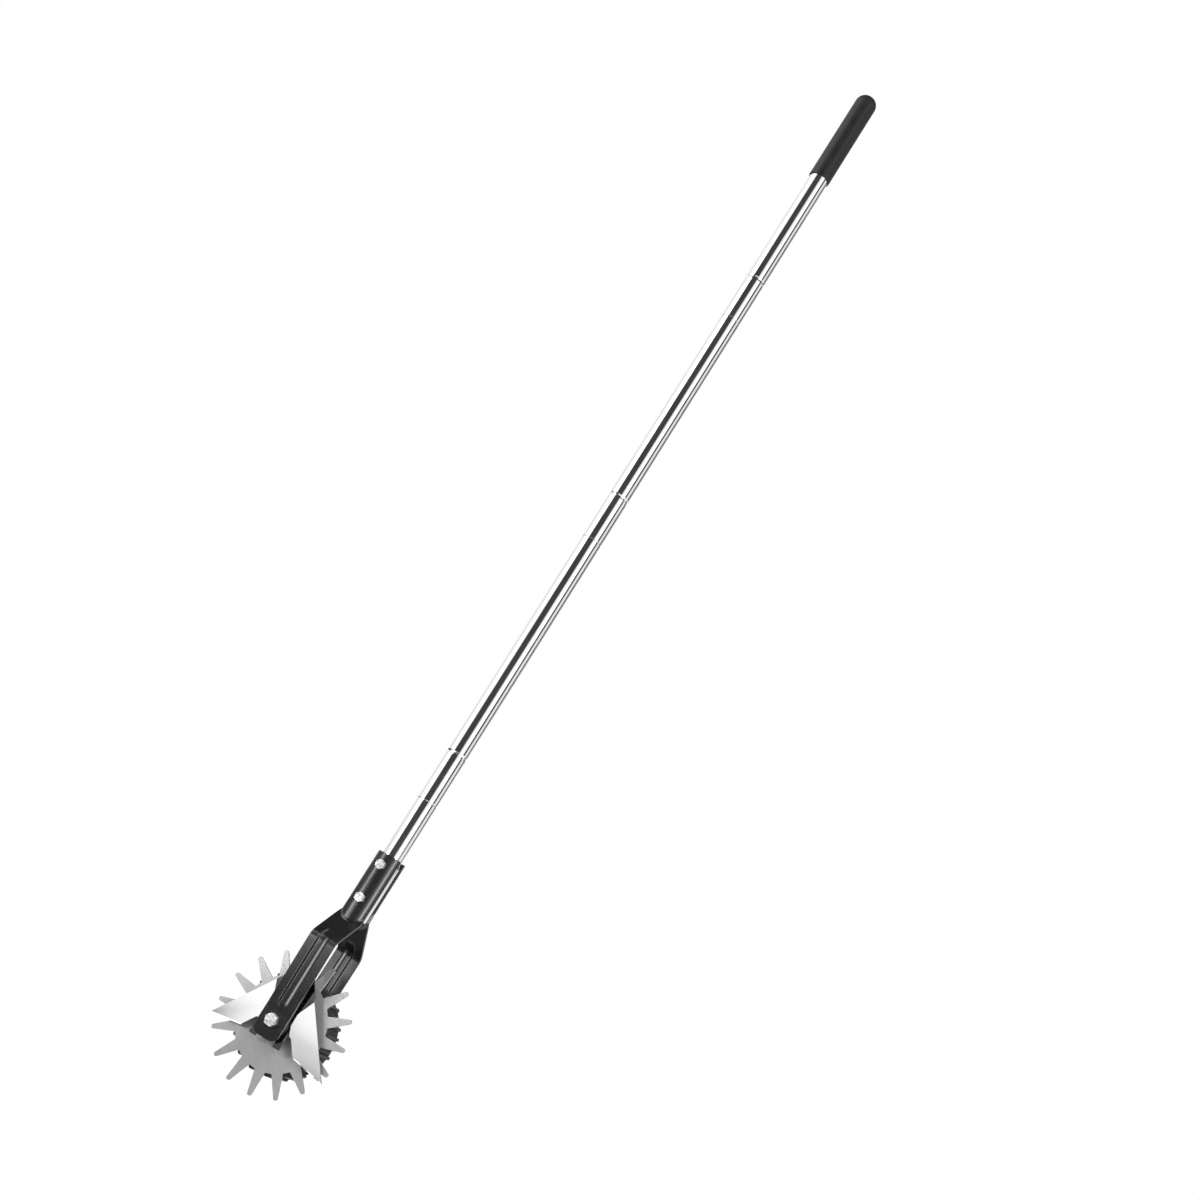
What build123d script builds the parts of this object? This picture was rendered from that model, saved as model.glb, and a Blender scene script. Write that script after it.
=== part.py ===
"""Rotary lawn edger: a toothed star wheel and a tyred wheel in a clamped fork, on a screw-together pole.

Millimetres. +Z runs up the pole, +Y along the axle from the star wheel to the tyre, +X along the lawn's edge.
The origin is on the ground, under the axle, in the pole's own plane.
"""
from build123d import *
import os
from math import asin, cos, degrees, hypot, radians, sin

# Star wheel
STAR_TIP_RADIUS = 76.0
STAR_ROOT_RADIUS = 50.2
STAR_THICKNESS = 2.0
STAR_TEETH = 16
STAR_PHASE = 8.6
TOOTH_ROOT_WIDTH = 12.0
TOOTH_TIP_WIDTH = 4.2

# Tyred wheel
TYRE_RADIUS = 52.0
TYRE_WIDTH = 34.0
TYRE_DEPTH = 12.0
TYRE_SHOULDER = 3.0
LUG_COUNT = 32
LUG_WIDTH = 3.0
LUG_HEIGHT = 1.6
HUB_BOSS_WALL = 4.0
HUB_RIM_WALL = 3.0
HUB_WEB = 4.0
HUB_RIB_WIDTH = 3.0
HUB_RIB_DEPTH = 18.0
RIVET_COUNT = 4
RIVET_RADIUS = 2.0
RIVET_HEAD_RADIUS = 3.5
RIVET_HEAD_HEIGHT = 1.3
RIVET_MARGIN = 4.5

# Axle
AXLE_RADIUS = 4.0
AXLE_HEAD_ACROSS = 13.0
AXLE_HEAD_HEIGHT = 5.3
AXLE_HEAD_TURN = 20.0
AXLE_WASHER_RADIUS = 8.0
AXLE_WASHER_THICKNESS = 1.6
AXLE_NUT_HEIGHT = 8.0
AXLE_BOLT_SHOW = 2.0
SLEEVE_WALL = 1.9
BUSH_WALL = 2.0
BUSH_LENGTH = 12.0
BUSH_FLANGE = 2.0
BUSH_FLANGE_MARGIN = 3.0
AXLE_END_PLAY = 0.3

# Scraper blade, measured from the axle in the strap's own plane
BLADE_THICKNESS = 2.0
BLADE_STANDOFF = 12.5
BLADE_TIP_GAP = 0.6
BLADE_SLOT_WIDTH = 22.0
BLADE_LEG_WIDTH = 8.7
BLADE_LEG_DROP = 22.3
BLADE_TOP_HEIGHT = 62.0
BLADE_TOP_WIDTH = 15.0
BLADE_KINK_X = 24.4
BLADE_KINK_Z = 36.7
BLADE_WAIST_X = 12.7
BLADE_WAIST_Z = 10.8
BLADE_NOTCH_Z = -6.2
BLADE_NOTCH_WIDTH = 3.6
BLADE_HEEL_X = 35.2
BLADE_HEEL_Z = -21.7
BLADE_REACH = 4.5
BLADE_TIP_ANGLE = -20.8
BLADE_SLIT = 0.8
BLADE_BEVEL = 1.2
BLADE_SEAT = 3.0
BLADE_SPACER_LENGTH = 6.5
BLADE_WASHER_THICKNESS = 2.0

# Fork arms
SHEET = 3.0
ARM_WIDTH = 31.0
ARM_END_DROP = 19.0
ARM_END_ROUND = 9.5
ARM_FLAT = 10.0
ARM_SPREAD = 3.0
ARM_BEND_RADIUS = 12.0
BEND_CLEARANCE = 19.0
SHOULDER_RISE = 26.5
SHELL_LENGTH = 81.5
SHELL_GAP = 15.5
FAR_CLEARANCE = 17.0
RIB_WIDTH = 12.5
RIB_HEIGHT = 2.8
RIB_WALL = 2.4
RIB_START = 20.0
RIB_ON_SHOULDER = 13.0

# Clamp bolts
CLAMP_RADIUS = 3.0
CLAMP_HEAD_ACROSS = 10.0
CLAMP_HEAD_HEIGHT = 4.0
CLAMP_HEAD_TURN = 8.0
CLAMP_NUT_HEIGHT = 6.0
CLAMP_BOLT_SHOW = 1.5
CLAMP_BOLT_INSET = 28.5
CLAMP_BOLT_PITCH = 40.0

# Pole and grip
POLE_RADIUS = 12.0
POLE_WALL = 1.2
STUB_LENGTH = 143.5
STUB_INSET = 7.5
STUB_FOOT_RADIUS = 13.5
STUB_NECK_INSET = 2.0
STUB_NECK_LENGTH = 6.0
LOWER_LENGTH = 347.0
MIDDLE_LENGTH = 321.0
UPPER_LENGTH = 344.5
CRIMP_HEIGHT = 60.0
CRIMP_WIDTH = 3.0
CRIMP_DEPTH = 0.7
STUD_RADIUS = 7.0
STUD_LENGTH = 34.0
STUD_PLUG_MARGIN = 12.0
SOCKET_LENGTH = 40.0
GRIP_WALL = 1.5
GRIP_LENGTH = 132.5
GRIP_END_WALL = 8.0
GRIP_DOME = 12.0
GRIP_LIP = 0.8

# Clearances, all on the radius
RUNNING_CLEARANCE = 0.05
HOLE_CLEARANCE = 0.2
FIT_CLEARANCE = 0.05

# Places along the axle: the stack of pieces between the two arms sets the width of the fork
fork_inside = (BLADE_SPACER_LENGTH + BLADE_THICKNESS + BLADE_STANDOFF + STAR_THICKNESS
               + TYRE_WIDTH + FAR_CLEARANCE)
near_inner = -fork_inside / 2
far_inner = fork_inside / 2
strap_front = near_inner + BLADE_SPACER_LENGTH
strap_back = strap_front + BLADE_THICKNESS
strap_middle = strap_front + BLADE_THICKNESS / 2
star_front = strap_back + BLADE_STANDOFF
star_back = star_front + STAR_THICKNESS
tyre_far = star_back + TYRE_WIDTH
sleeve_near = strap_back + BLADE_WASHER_THICKNESS
hub_near = sleeve_near + AXLE_END_PLAY + BUSH_FLANGE
hub_far = far_inner - AXLE_END_PLAY - BUSH_FLANGE

# Radii about the axle, from the bolt outwards
sleeve_inner = AXLE_RADIUS + HOLE_CLEARANCE
sleeve_outer = sleeve_inner + SLEEVE_WALL
bush_inner = sleeve_outer + RUNNING_CLEARANCE
bush_outer = bush_inner + BUSH_WALL
hub_bore = bush_outer + FIT_CLEARANCE
boss_radius = hub_bore + HUB_BOSS_WALL
star_bore = boss_radius + FIT_CLEARANCE
rivet_circle = boss_radius + RIVET_MARGIN
hub_rim = TYRE_RADIUS - TYRE_DEPTH
spacer_radius = BLADE_SLOT_WIDTH / 2 + BLADE_SEAT

# Heights above the axle, up the fork and the pole
axle_height = STAR_TIP_RADIUS
bend_height = STAR_TIP_RADIUS + BEND_CLEARANCE
shell_foot = bend_height + SHOULDER_RISE
shell_top = shell_foot + SHELL_LENGTH
shell_radius = STUB_FOOT_RADIUS + SHEET
clamp_heights = (shell_foot + CLAMP_BOLT_INSET, shell_foot + CLAMP_BOLT_INSET + CLAMP_BOLT_PITCH)
stub_foot = shell_foot + STUB_INSET
seam_lower = stub_foot + STUB_LENGTH
seam_middle = seam_lower + LOWER_LENGTH
seam_upper = seam_middle + MIDDLE_LENGTH
pole_top = seam_upper + UPPER_LENGTH
pole_bore = POLE_RADIUS - POLE_WALL
plug_radius = pole_bore - FIT_CLEARANCE
crimp_radius = (CRIMP_WIDTH**2 / 4 + CRIMP_DEPTH**2) / (2 * CRIMP_DEPTH)
grip_radius = POLE_RADIUS + GRIP_WALL

AXLE = Axis((0, 0, axle_height), (0, 1, 0))
ACROSS = Plane(origin=(0, 0, axle_height), x_dir=(0, 1, 0), z_dir=(1, 0, 0))

os.makedirs("parts", exist_ok=True)


def facing(y):
    """Plane square to the axle at y, seen from the star wheel's side: local x is X and local y is Z."""
    return Plane(origin=(0, y, axle_height), x_dir=(1, 0, 0), z_dir=(0, -1, 0))


def level(height):
    """Plane square to the pole at a height above the axle."""
    return Plane.XY.offset(axle_height + height)


def finish(piece, name):
    """Label a piece and write it out."""
    piece.label = name
    export_step(piece, f"parts/{name}.step")


def ring(y_near, y_far, inner, outer):
    """Plain ring about the axle, such as a sleeve, spacer or washer."""
    with BuildPart() as turned:
        with BuildSketch(facing(y_far)):
            Circle(outer)
            Circle(inner, mode=Mode.SUBTRACT)
        extrude(amount=y_far - y_near)
    return turned.part


def hex_bolt(places, y_head, y_end, radius, across, head_height, turn):
    """Hex-headed bolts along Y, one at each place, with the heads on the near side."""
    with BuildPart() as bolt:
        with BuildSketch(facing(y_head)):
            with Locations(*places):
                RegularPolygon(across / 2, 6, major_radius=False, rotation=turn)
        extrude(amount=head_height)
        with BuildSketch(facing(y_end)):
            with Locations(*places):
                Circle(radius)
        extrude(amount=y_end - y_head)
    return bolt.part


def hex_nut(places, y_seat, radius, across, height, turn):
    """Hex nuts on the far side, one at each place."""
    with BuildPart() as nut:
        with BuildSketch(facing(y_seat + height)):
            with Locations(*places):
                RegularPolygon(across / 2, 6, major_radius=False, rotation=turn)
                Circle(radius + FIT_CLEARANCE, mode=Mode.SUBTRACT)
        extrude(amount=height)
    return nut.part


# Star wheel: a flat disc with straight-flanked teeth, round at the tips
tooth_foot = (STAR_ROOT_RADIUS**2 - TOOTH_ROOT_WIDTH**2 / 4) ** 0.5
tooth_middle = (STAR_ROOT_RADIUS + STAR_TIP_RADIUS) / 2
with BuildPart() as star_wheel:
    with BuildSketch(facing(star_back)) as star_outline:
        Circle(STAR_ROOT_RADIUS)
        with PolarLocations(0, STAR_TEETH, start_angle=STAR_PHASE):
            Polygon(
                (0, -TOOTH_ROOT_WIDTH / 2),
                (tooth_foot, -TOOTH_ROOT_WIDTH / 2),
                (STAR_TIP_RADIUS, -TOOTH_TIP_WIDTH / 2),
                (STAR_TIP_RADIUS, TOOTH_TIP_WIDTH / 2),
                (tooth_foot, TOOTH_ROOT_WIDTH / 2),
                (0, TOOTH_ROOT_WIDTH / 2),
                align=None,
            )
        tips = [corner for corner in star_outline.vertices() if hypot(corner.X, corner.Y) > tooth_middle]
        fillet(tips, radius=0.45 * TOOTH_TIP_WIDTH)
        Circle(star_bore, mode=Mode.SUBTRACT)
        with PolarLocations(rivet_circle, RIVET_COUNT):
            Circle(RIVET_RADIUS + FIT_CLEARANCE, mode=Mode.SUBTRACT)
    extrude(amount=STAR_THICKNESS)
finish(star_wheel.part, "star_wheel")

# Rivets through the star wheel and the hub's web
with BuildPart() as star_rivets:
    for y_foot, radius, height in (
        (star_front, RIVET_HEAD_RADIUS, RIVET_HEAD_HEIGHT),
        (star_back + HUB_WEB, RIVET_RADIUS, HUB_WEB + STAR_THICKNESS),
        (star_back + HUB_WEB + RIVET_HEAD_HEIGHT, RIVET_HEAD_RADIUS, RIVET_HEAD_HEIGHT),
    ):
        with BuildSketch(facing(y_foot)):
            with PolarLocations(rivet_circle, RIVET_COUNT):
                Circle(radius)
        extrude(amount=height)
finish(star_rivets.part, "star_rivets")

# Wheel hub: a moulded boss, web and rim, open at the far side, with a radial rib between the rivets
with BuildPart() as wheel_hub:
    with BuildSketch(facing(star_back + HUB_WEB)):
        Circle(hub_rim)
        Circle(hub_bore, mode=Mode.SUBTRACT)
        with PolarLocations(rivet_circle, RIVET_COUNT):
            Circle(RIVET_RADIUS + FIT_CLEARANCE, mode=Mode.SUBTRACT)
    extrude(amount=HUB_WEB)
    with BuildSketch(facing(tyre_far)):
        Circle(hub_rim)
        Circle(hub_rim - HUB_RIM_WALL, mode=Mode.SUBTRACT)
    extrude(amount=TYRE_WIDTH - HUB_WEB)
    with BuildSketch(facing(hub_far)):
        Circle(boss_radius)
        Circle(hub_bore, mode=Mode.SUBTRACT)
    extrude(amount=hub_far - hub_near)
    with BuildSketch(facing(star_back + HUB_WEB + HUB_RIB_DEPTH)):
        with PolarLocations((boss_radius + hub_rim - HUB_RIM_WALL) / 2, RIVET_COUNT, start_angle=180 / RIVET_COUNT):
            Rectangle(hub_rim - boss_radius, HUB_RIB_WIDTH)
    extrude(amount=HUB_RIB_DEPTH)
finish(wheel_hub.part, "wheel_hub")

# Tyre: a round-shouldered rubber ring with a lug bar across it at each step round
def rounded_disc(radius):
    """Solid disc as wide as the tyre, with round shoulders."""
    with BuildPart() as disc:
        with BuildSketch(facing(tyre_far)):
            Circle(radius)
        extrude(amount=TYRE_WIDTH)
        fillet(disc.edges().filter_by(GeomType.CIRCLE), radius=TYRE_SHOULDER)
    return disc.part


lug_depth = LUG_HEIGHT + TYRE_SHOULDER
with BuildPart() as tyre:
    with BuildSketch(facing(tyre_far)):
        with PolarLocations(TYRE_RADIUS + LUG_HEIGHT - lug_depth / 2, LUG_COUNT, start_angle=180 / LUG_COUNT):
            RectangleRounded(lug_depth, LUG_WIDTH, LUG_WIDTH / 3)
    extrude(amount=TYRE_WIDTH)
    add(rounded_disc(TYRE_RADIUS + LUG_HEIGHT), mode=Mode.INTERSECT)
    add(rounded_disc(TYRE_RADIUS))
    with BuildSketch(facing(tyre_far)):
        Circle(hub_rim)
    extrude(amount=TYRE_WIDTH, mode=Mode.SUBTRACT)
finish(tyre.part, "tyre")

# Flanged bushes in the two ends of the hub
for name, y_flange, y_end in (
    ("near_bush", hub_near - BUSH_FLANGE, hub_near + BUSH_LENGTH),
    ("far_bush", hub_far + BUSH_FLANGE, hub_far - BUSH_LENGTH),
):
    y_shoulder = hub_near if name == "near_bush" else hub_far
    with BuildPart() as bush:
        with BuildSketch(ACROSS):
            with BuildLine():
                Polyline(
                    (y_flange, bush_inner),
                    (y_flange, bush_outer + BUSH_FLANGE_MARGIN),
                    (y_shoulder, bush_outer + BUSH_FLANGE_MARGIN),
                    (y_shoulder, bush_outer),
                    (y_end, bush_outer),
                    (y_end, bush_inner),
                    close=True,
                )
            make_face()
        revolve(axis=AXLE)
    finish(bush.part, name)

# What is clamped on the axle bolt
finish(ring(sleeve_near, far_inner, sleeve_inner, sleeve_outer), "axle_sleeve")
finish(ring(near_inner, strap_front, AXLE_RADIUS + HOLE_CLEARANCE, spacer_radius), "blade_spacer")
finish(ring(strap_back, sleeve_near, AXLE_RADIUS + HOLE_CLEARANCE, spacer_radius), "blade_washer")
washer_far = far_inner + SHEET + AXLE_WASHER_THICKNESS
finish(ring(far_inner + SHEET, washer_far, AXLE_RADIUS + HOLE_CLEARANCE, AXLE_WASHER_RADIUS), "axle_washer")
finish(
    hex_bolt([(0, 0)], near_inner - SHEET, washer_far + AXLE_NUT_HEIGHT + AXLE_BOLT_SHOW,
             AXLE_RADIUS, AXLE_HEAD_ACROSS, AXLE_HEAD_HEIGHT, AXLE_HEAD_TURN),
    "axle_bolt",
)
finish(
    hex_nut([(0, 0)], washer_far, AXLE_RADIUS, AXLE_HEAD_ACROSS, AXLE_NUT_HEIGHT, 0),
    "axle_nut",
)

# Scraper blade: a flat strap with a slot over the axle, and a wing folded down to the star wheel on each side
leg_x = BLADE_SLOT_WIDTH / 2 + BLADE_LEG_WIDTH
tip_radius = STAR_TIP_RADIUS + BLADE_REACH
tip_x = tip_radius * cos(radians(BLADE_TIP_ANGLE))
tip_z = tip_radius * sin(radians(BLADE_TIP_ANGLE))
strap_right = [
    (BLADE_TOP_WIDTH / 2, BLADE_TOP_HEIGHT),
    (BLADE_KINK_X, BLADE_KINK_Z),
    (BLADE_WAIST_X, BLADE_WAIST_Z),
    (leg_x, BLADE_NOTCH_Z),
    (leg_x, -BLADE_LEG_DROP),
]
wing_right = [
    (BLADE_WAIST_X, BLADE_WAIST_Z),
    (BLADE_WAIST_X + BLADE_SLIT, BLADE_WAIST_Z),
    (leg_x + BLADE_SLIT, BLADE_NOTCH_Z + BLADE_SLIT),
    (leg_x + BLADE_NOTCH_WIDTH, BLADE_NOTCH_Z),
    (BLADE_HEEL_X, BLADE_HEEL_Z),
    (tip_x, tip_z),
    (BLADE_KINK_X, BLADE_KINK_Z),
]
fold_x = BLADE_KINK_X - BLADE_WAIST_X
fold_z = BLADE_KINK_Z - BLADE_WAIST_Z
fold_length = hypot(fold_x, fold_z)
wing_span = ((tip_x - BLADE_WAIST_X) * fold_z - (tip_z - BLADE_WAIST_Z) * fold_x) / fold_length
fold_angle = degrees(asin((BLADE_STANDOFF - BLADE_TIP_GAP) / wing_span))
flat_plane = Plane(
    origin=(BLADE_WAIST_X, strap_middle, axle_height + BLADE_WAIST_Z),
    x_dir=(fold_x, 0, fold_z),
    z_dir=(0, -1, 0),
)
wing_plane = flat_plane.rotated((fold_angle, 0, 0))

with BuildPart() as wing:
    with BuildSketch(wing_plane):
        with BuildLine():
            flat_points = [(x, strap_middle, axle_height + z) for x, z in wing_right]
            Polyline(*[flat_plane.to_local_coords(Vector(point)) for point in flat_points], close=True)
        make_face()
    extrude(amount=BLADE_THICKNESS / 2, both=True)
    near_face = wing.faces().sort_by(Axis(wing_plane.origin, wing_plane.z_dir))[-1]
    cutting_middle = ((tip_x + BLADE_HEEL_X) / 2, strap_middle, axle_height + (tip_z + BLADE_HEEL_Z) / 2)
    chamfer(near_face.edges().sort_by_distance(cutting_middle)[0], length=BLADE_BEVEL)

with BuildPart() as scraper_blade:
    with BuildSketch(facing(strap_back)):
        with BuildLine():
            strap_left = [(-x, z) for x, z in reversed(strap_right)]
            Polyline(*strap_right, *strap_left, close=True)
        make_face()
        Circle(BLADE_SLOT_WIDTH / 2, mode=Mode.SUBTRACT)
        with Locations((0, -BLADE_LEG_DROP / 2)):
            Rectangle(BLADE_SLOT_WIDTH, BLADE_LEG_DROP, mode=Mode.SUBTRACT)
    extrude(amount=BLADE_THICKNESS)
    add(wing.part)
    mirror(wing.part, about=Plane.YZ)
finish(scraper_blade.part, "scraper_blade")

# Fork arm: side profile of the bent sheet, from its foot to the top of the sloping shoulder
shoulder_run = -STUB_FOOT_RADIUS - (near_inner - ARM_SPREAD)
arm_path = [
    (near_inner, -ARM_END_DROP),
    (near_inner, ARM_FLAT),
    (near_inner - ARM_SPREAD, bend_height),
    (0, shell_foot + STUB_FOOT_RADIUS * SHOULDER_RISE / shoulder_run),
]
# The rib is part of a round bar whose axis lies below the outer face, along the leg and onto the shoulder
rib_radius = (RIB_WIDTH**2 / 4 + RIB_HEIGHT**2) / (2 * RIB_HEIGHT)
rib_inset = SHEET + RIB_HEIGHT - rib_radius
shoulder_length = hypot(shoulder_run, SHOULDER_RISE)
leg_top = (near_inner - ARM_SPREAD - rib_inset, bend_height)
leg_slope = ARM_SPREAD / (bend_height - ARM_FLAT)
rib_path = [
    (leg_top[0] + leg_slope * (bend_height - RIB_START), RIB_START),
    leg_top,
    (leg_top[0] + RIB_ON_SHOULDER * shoulder_run / shoulder_length,
     bend_height + RIB_ON_SHOULDER * SHOULDER_RISE / shoulder_length),
]


def rib_bar(radius):
    """Round bar with round ends along the rib's path."""
    with BuildPart() as bar:
        for (y0, z0), (y1, z1) in zip(rib_path, rib_path[1:]):
            start = Vector(0, y0, axle_height + z0)
            run = Vector(0, y1 - y0, z1 - z0)
            with BuildSketch(Plane(origin=start, x_dir=(1, 0, 0), z_dir=run)):
                Circle(radius)
            extrude(amount=run.length)
        with Locations(*[(0, y, axle_height + z) for y, z in rib_path]):
            Sphere(radius)
    return bar.part


rib_outside = rib_bar(rib_radius)
rib_groove = rib_bar(rib_radius - RIB_WALL)

with BuildPart() as near_fork_arm:
    with BuildSketch(ACROSS):
        with BuildLine():
            FilletPolyline(*arm_path, radius=ARM_BEND_RADIUS)
            offset(amount=SHEET, side=Side.LEFT)
        make_face()
    extrude(amount=ARM_WIDTH / 2, both=True)
    fillet(near_fork_arm.edges().filter_by(Axis.Y).group_by(Axis.Z)[0], radius=ARM_END_ROUND)
    with BuildSketch(level(shell_foot)):
        Circle(shell_radius)
    extrude(amount=SHELL_LENGTH)
    add(rib_outside)
    # Everything inside the bent sheet is open
    with BuildSketch(ACROSS):
        with BuildLine():
            inner_line = FilletPolyline(*arm_path, radius=ARM_BEND_RADIUS)
            Polyline(inner_line @ 1, (fork_inside, arm_path[-1][1]), (fork_inside, -ARM_END_DROP), inner_line @ 0)
        make_face()
    extrude(amount=ARM_WIDTH, both=True, mode=Mode.SUBTRACT)
    # The stub's bore, and the gap between the two shells
    with BuildSketch(level(bend_height)):
        Circle(STUB_FOOT_RADIUS + FIT_CLEARANCE)
    extrude(amount=shell_top, mode=Mode.SUBTRACT)
    with BuildSketch(level(-ARM_END_DROP)):
        with Locations((0, fork_inside - SHELL_GAP / 2)):
            Rectangle(2 * ARM_WIDTH, 2 * fork_inside)
    extrude(amount=2 * shell_top, mode=Mode.SUBTRACT)
    # The rib's hollow back, and the bolt holes
    add(rib_groove, mode=Mode.SUBTRACT)
    with BuildSketch(facing(0)):
        Circle(AXLE_RADIUS + HOLE_CLEARANCE)
        with Locations(*[(0, height) for height in clamp_heights]):
            Circle(CLAMP_RADIUS + HOLE_CLEARANCE)
    extrude(amount=fork_inside, mode=Mode.SUBTRACT)
finish(near_fork_arm.part, "near_fork_arm")

with BuildPart() as far_fork_arm:
    mirror(near_fork_arm.part, about=Plane.XZ)
finish(far_fork_arm.part, "far_fork_arm")

# Clamp bolts and nuts, through both shells and the stub
clamp_places = [(0, height) for height in clamp_heights]
finish(
    hex_bolt(clamp_places, -shell_radius, shell_radius + CLAMP_NUT_HEIGHT + CLAMP_BOLT_SHOW,
             CLAMP_RADIUS, CLAMP_HEAD_ACROSS, CLAMP_HEAD_HEIGHT, CLAMP_HEAD_TURN),
    "clamp_bolts",
)
finish(
    hex_nut(clamp_places, shell_radius, CLAMP_RADIUS, CLAMP_HEAD_ACROSS, CLAMP_NUT_HEIGHT, CLAMP_HEAD_TURN),
    "clamp_nuts",
)


def tube(foot, length):
    """Pole tube, with a rolled ring above its foot where the stud's plug is held."""
    with BuildPart() as pole:
        with BuildSketch(level(foot)):
            Circle(POLE_RADIUS)
            Circle(pole_bore, mode=Mode.SUBTRACT)
        extrude(amount=length)
        with Locations((0, 0, axle_height + foot + CRIMP_HEIGHT)):
            Torus(POLE_RADIUS - CRIMP_DEPTH + crimp_radius, crimp_radius, mode=Mode.SUBTRACT)
        with BuildSketch(level(foot + CRIMP_HEIGHT - CRIMP_WIDTH / 2 - POLE_WALL)):
            Circle(pole_bore)
            Circle(pole_bore - CRIMP_DEPTH, mode=Mode.SUBTRACT)
        extrude(amount=CRIMP_WIDTH + 2 * POLE_WALL)
    return pole.part


# Stub: a tube whose foot is expanded to fill the clamp, crossed by the clamp bolts
neck_top = shell_top - STUB_NECK_INSET
neck_foot = neck_top - STUB_NECK_LENGTH
with BuildPart() as pole_stub:
    with BuildSketch(ACROSS):
        with BuildLine():
            Polyline(
                (STUB_FOOT_RADIUS - POLE_WALL, stub_foot),
                (STUB_FOOT_RADIUS, stub_foot),
                (STUB_FOOT_RADIUS, neck_foot),
                (POLE_RADIUS, neck_top),
                (POLE_RADIUS, seam_lower),
                (pole_bore, seam_lower),
                (pole_bore, neck_top),
                (STUB_FOOT_RADIUS - POLE_WALL, neck_foot),
                close=True,
            )
        make_face()
    revolve(axis=Axis.Z)
    with BuildSketch(facing(STUB_FOOT_RADIUS)):
        with Locations(*clamp_places):
            Circle(CLAMP_RADIUS + HOLE_CLEARANCE)
    extrude(amount=2 * STUB_FOOT_RADIUS, mode=Mode.SUBTRACT)
finish(pole_stub.part, "pole_stub")

finish(tube(seam_lower, LOWER_LENGTH), "lower_pole")
finish(tube(seam_middle, MIDDLE_LENGTH), "middle_pole")
finish(tube(seam_upper, UPPER_LENGTH), "upper_pole")

# Screw joints: a socket in the top of each lower tube, and a stud whose plug is held by the crimp above
for place, seam in (("lower", seam_lower), ("middle", seam_middle), ("upper", seam_upper)):
    with BuildPart() as socket:
        with BuildSketch(level(seam)):
            Circle(plug_radius)
            Circle(STUD_RADIUS + FIT_CLEARANCE, mode=Mode.SUBTRACT)
        extrude(amount=-SOCKET_LENGTH)
    finish(socket.part, f"{place}_socket")

    with BuildPart() as stud:
        with BuildSketch(level(seam)):
            Circle(plug_radius)
        extrude(amount=CRIMP_HEIGHT + STUD_PLUG_MARGIN)
        with BuildSketch(level(seam + CRIMP_HEIGHT - CRIMP_WIDTH / 2 - 2 * POLE_WALL)):
            Circle(POLE_RADIUS)
            Circle(plug_radius - CRIMP_DEPTH, mode=Mode.SUBTRACT)
        extrude(amount=CRIMP_WIDTH + 4 * POLE_WALL, mode=Mode.SUBTRACT)
        with BuildSketch(level(seam)):
            Circle(STUD_RADIUS)
        extrude(amount=-STUD_LENGTH)
        chamfer(stud.edges().group_by(Axis.Z)[0], length=SHEET / 2)
    finish(stud.part, f"{place}_stud")

# Grip: a plain sleeve over the top of the upper tube, closed by a dome
with BuildPart() as grip:
    with BuildSketch(level(pole_top + GRIP_END_WALL)):
        Circle(grip_radius)
    extrude(amount=-GRIP_LENGTH)
    fillet(grip.edges().group_by(Axis.Z)[-1], radius=GRIP_DOME)
    fillet(grip.edges().group_by(Axis.Z)[0], radius=GRIP_LIP)
    with BuildSketch(level(pole_top)):
        Circle(POLE_RADIUS + FIT_CLEARANCE)
    extrude(amount=-GRIP_LENGTH, mode=Mode.SUBTRACT)
finish(grip.part, "grip")
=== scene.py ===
"""Looks of the rotary lawn edger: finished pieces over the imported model, with camera, light and floor."""
from math import acos, ceil, cos, hypot, pi, radians, sin, sqrt, tan

import bmesh
import bpy
from mathutils import Matrix, Vector


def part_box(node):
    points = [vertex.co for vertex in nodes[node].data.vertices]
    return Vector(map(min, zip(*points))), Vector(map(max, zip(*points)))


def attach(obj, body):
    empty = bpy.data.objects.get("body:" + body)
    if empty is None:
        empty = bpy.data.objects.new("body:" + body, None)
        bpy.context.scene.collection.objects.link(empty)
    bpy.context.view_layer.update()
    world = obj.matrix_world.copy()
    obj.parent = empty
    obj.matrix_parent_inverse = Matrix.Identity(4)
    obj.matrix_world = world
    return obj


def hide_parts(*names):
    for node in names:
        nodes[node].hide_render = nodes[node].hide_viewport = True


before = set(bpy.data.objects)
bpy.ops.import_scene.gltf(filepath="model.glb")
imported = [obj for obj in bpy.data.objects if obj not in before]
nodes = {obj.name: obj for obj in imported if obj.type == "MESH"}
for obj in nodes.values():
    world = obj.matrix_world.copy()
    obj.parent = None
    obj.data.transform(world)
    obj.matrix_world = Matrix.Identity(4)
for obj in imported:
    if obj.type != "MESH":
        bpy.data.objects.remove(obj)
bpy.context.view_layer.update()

MM = 0.001
MERGE = 0.002 * MM
HOLD = 0.7 * MM
FIT_GAP = 0.05 * MM
HANDLE = "handle"
WHEEL = "wheel"
FINISH = "_finish"


def reach(node, axis):
    """Lowest and highest place of a CAD node along an axis."""
    low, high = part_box(node)
    index = "xyz".index(axis)
    return low[index], high[index]


def middle(node, axis):
    """Middle of a CAD node along an axis."""
    return sum(reach(node, axis)) / 2


# Axes that the turned pieces share: the pole stands on Z, the axle and the clamp bolts lie along Y
AXLE_Z = middle("axle_sleeve", "z")
POLE = (Vector((0, 0, 0)), Vector((0, 0, 1)))
AXLE = (Vector((0, 0, AXLE_Z)), Vector((0, 1, 0)))


# Mesh helpers
def soften_corner(bm, vert, radius):
    """Round one corner of a flat face."""
    sides = [edge.other_vert(vert).co - vert.co for edge in vert.link_edges]
    setback = radius / tan(sides[0].angle(sides[1]) / 2)
    bmesh.ops.bevel(bm, geom=[vert], offset=setback, offset_type="OFFSET", segments=3 + int(radius / MM),
                    profile=0.5, affect="VERTICES", material=-1, clamp_overlap=True)


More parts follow.
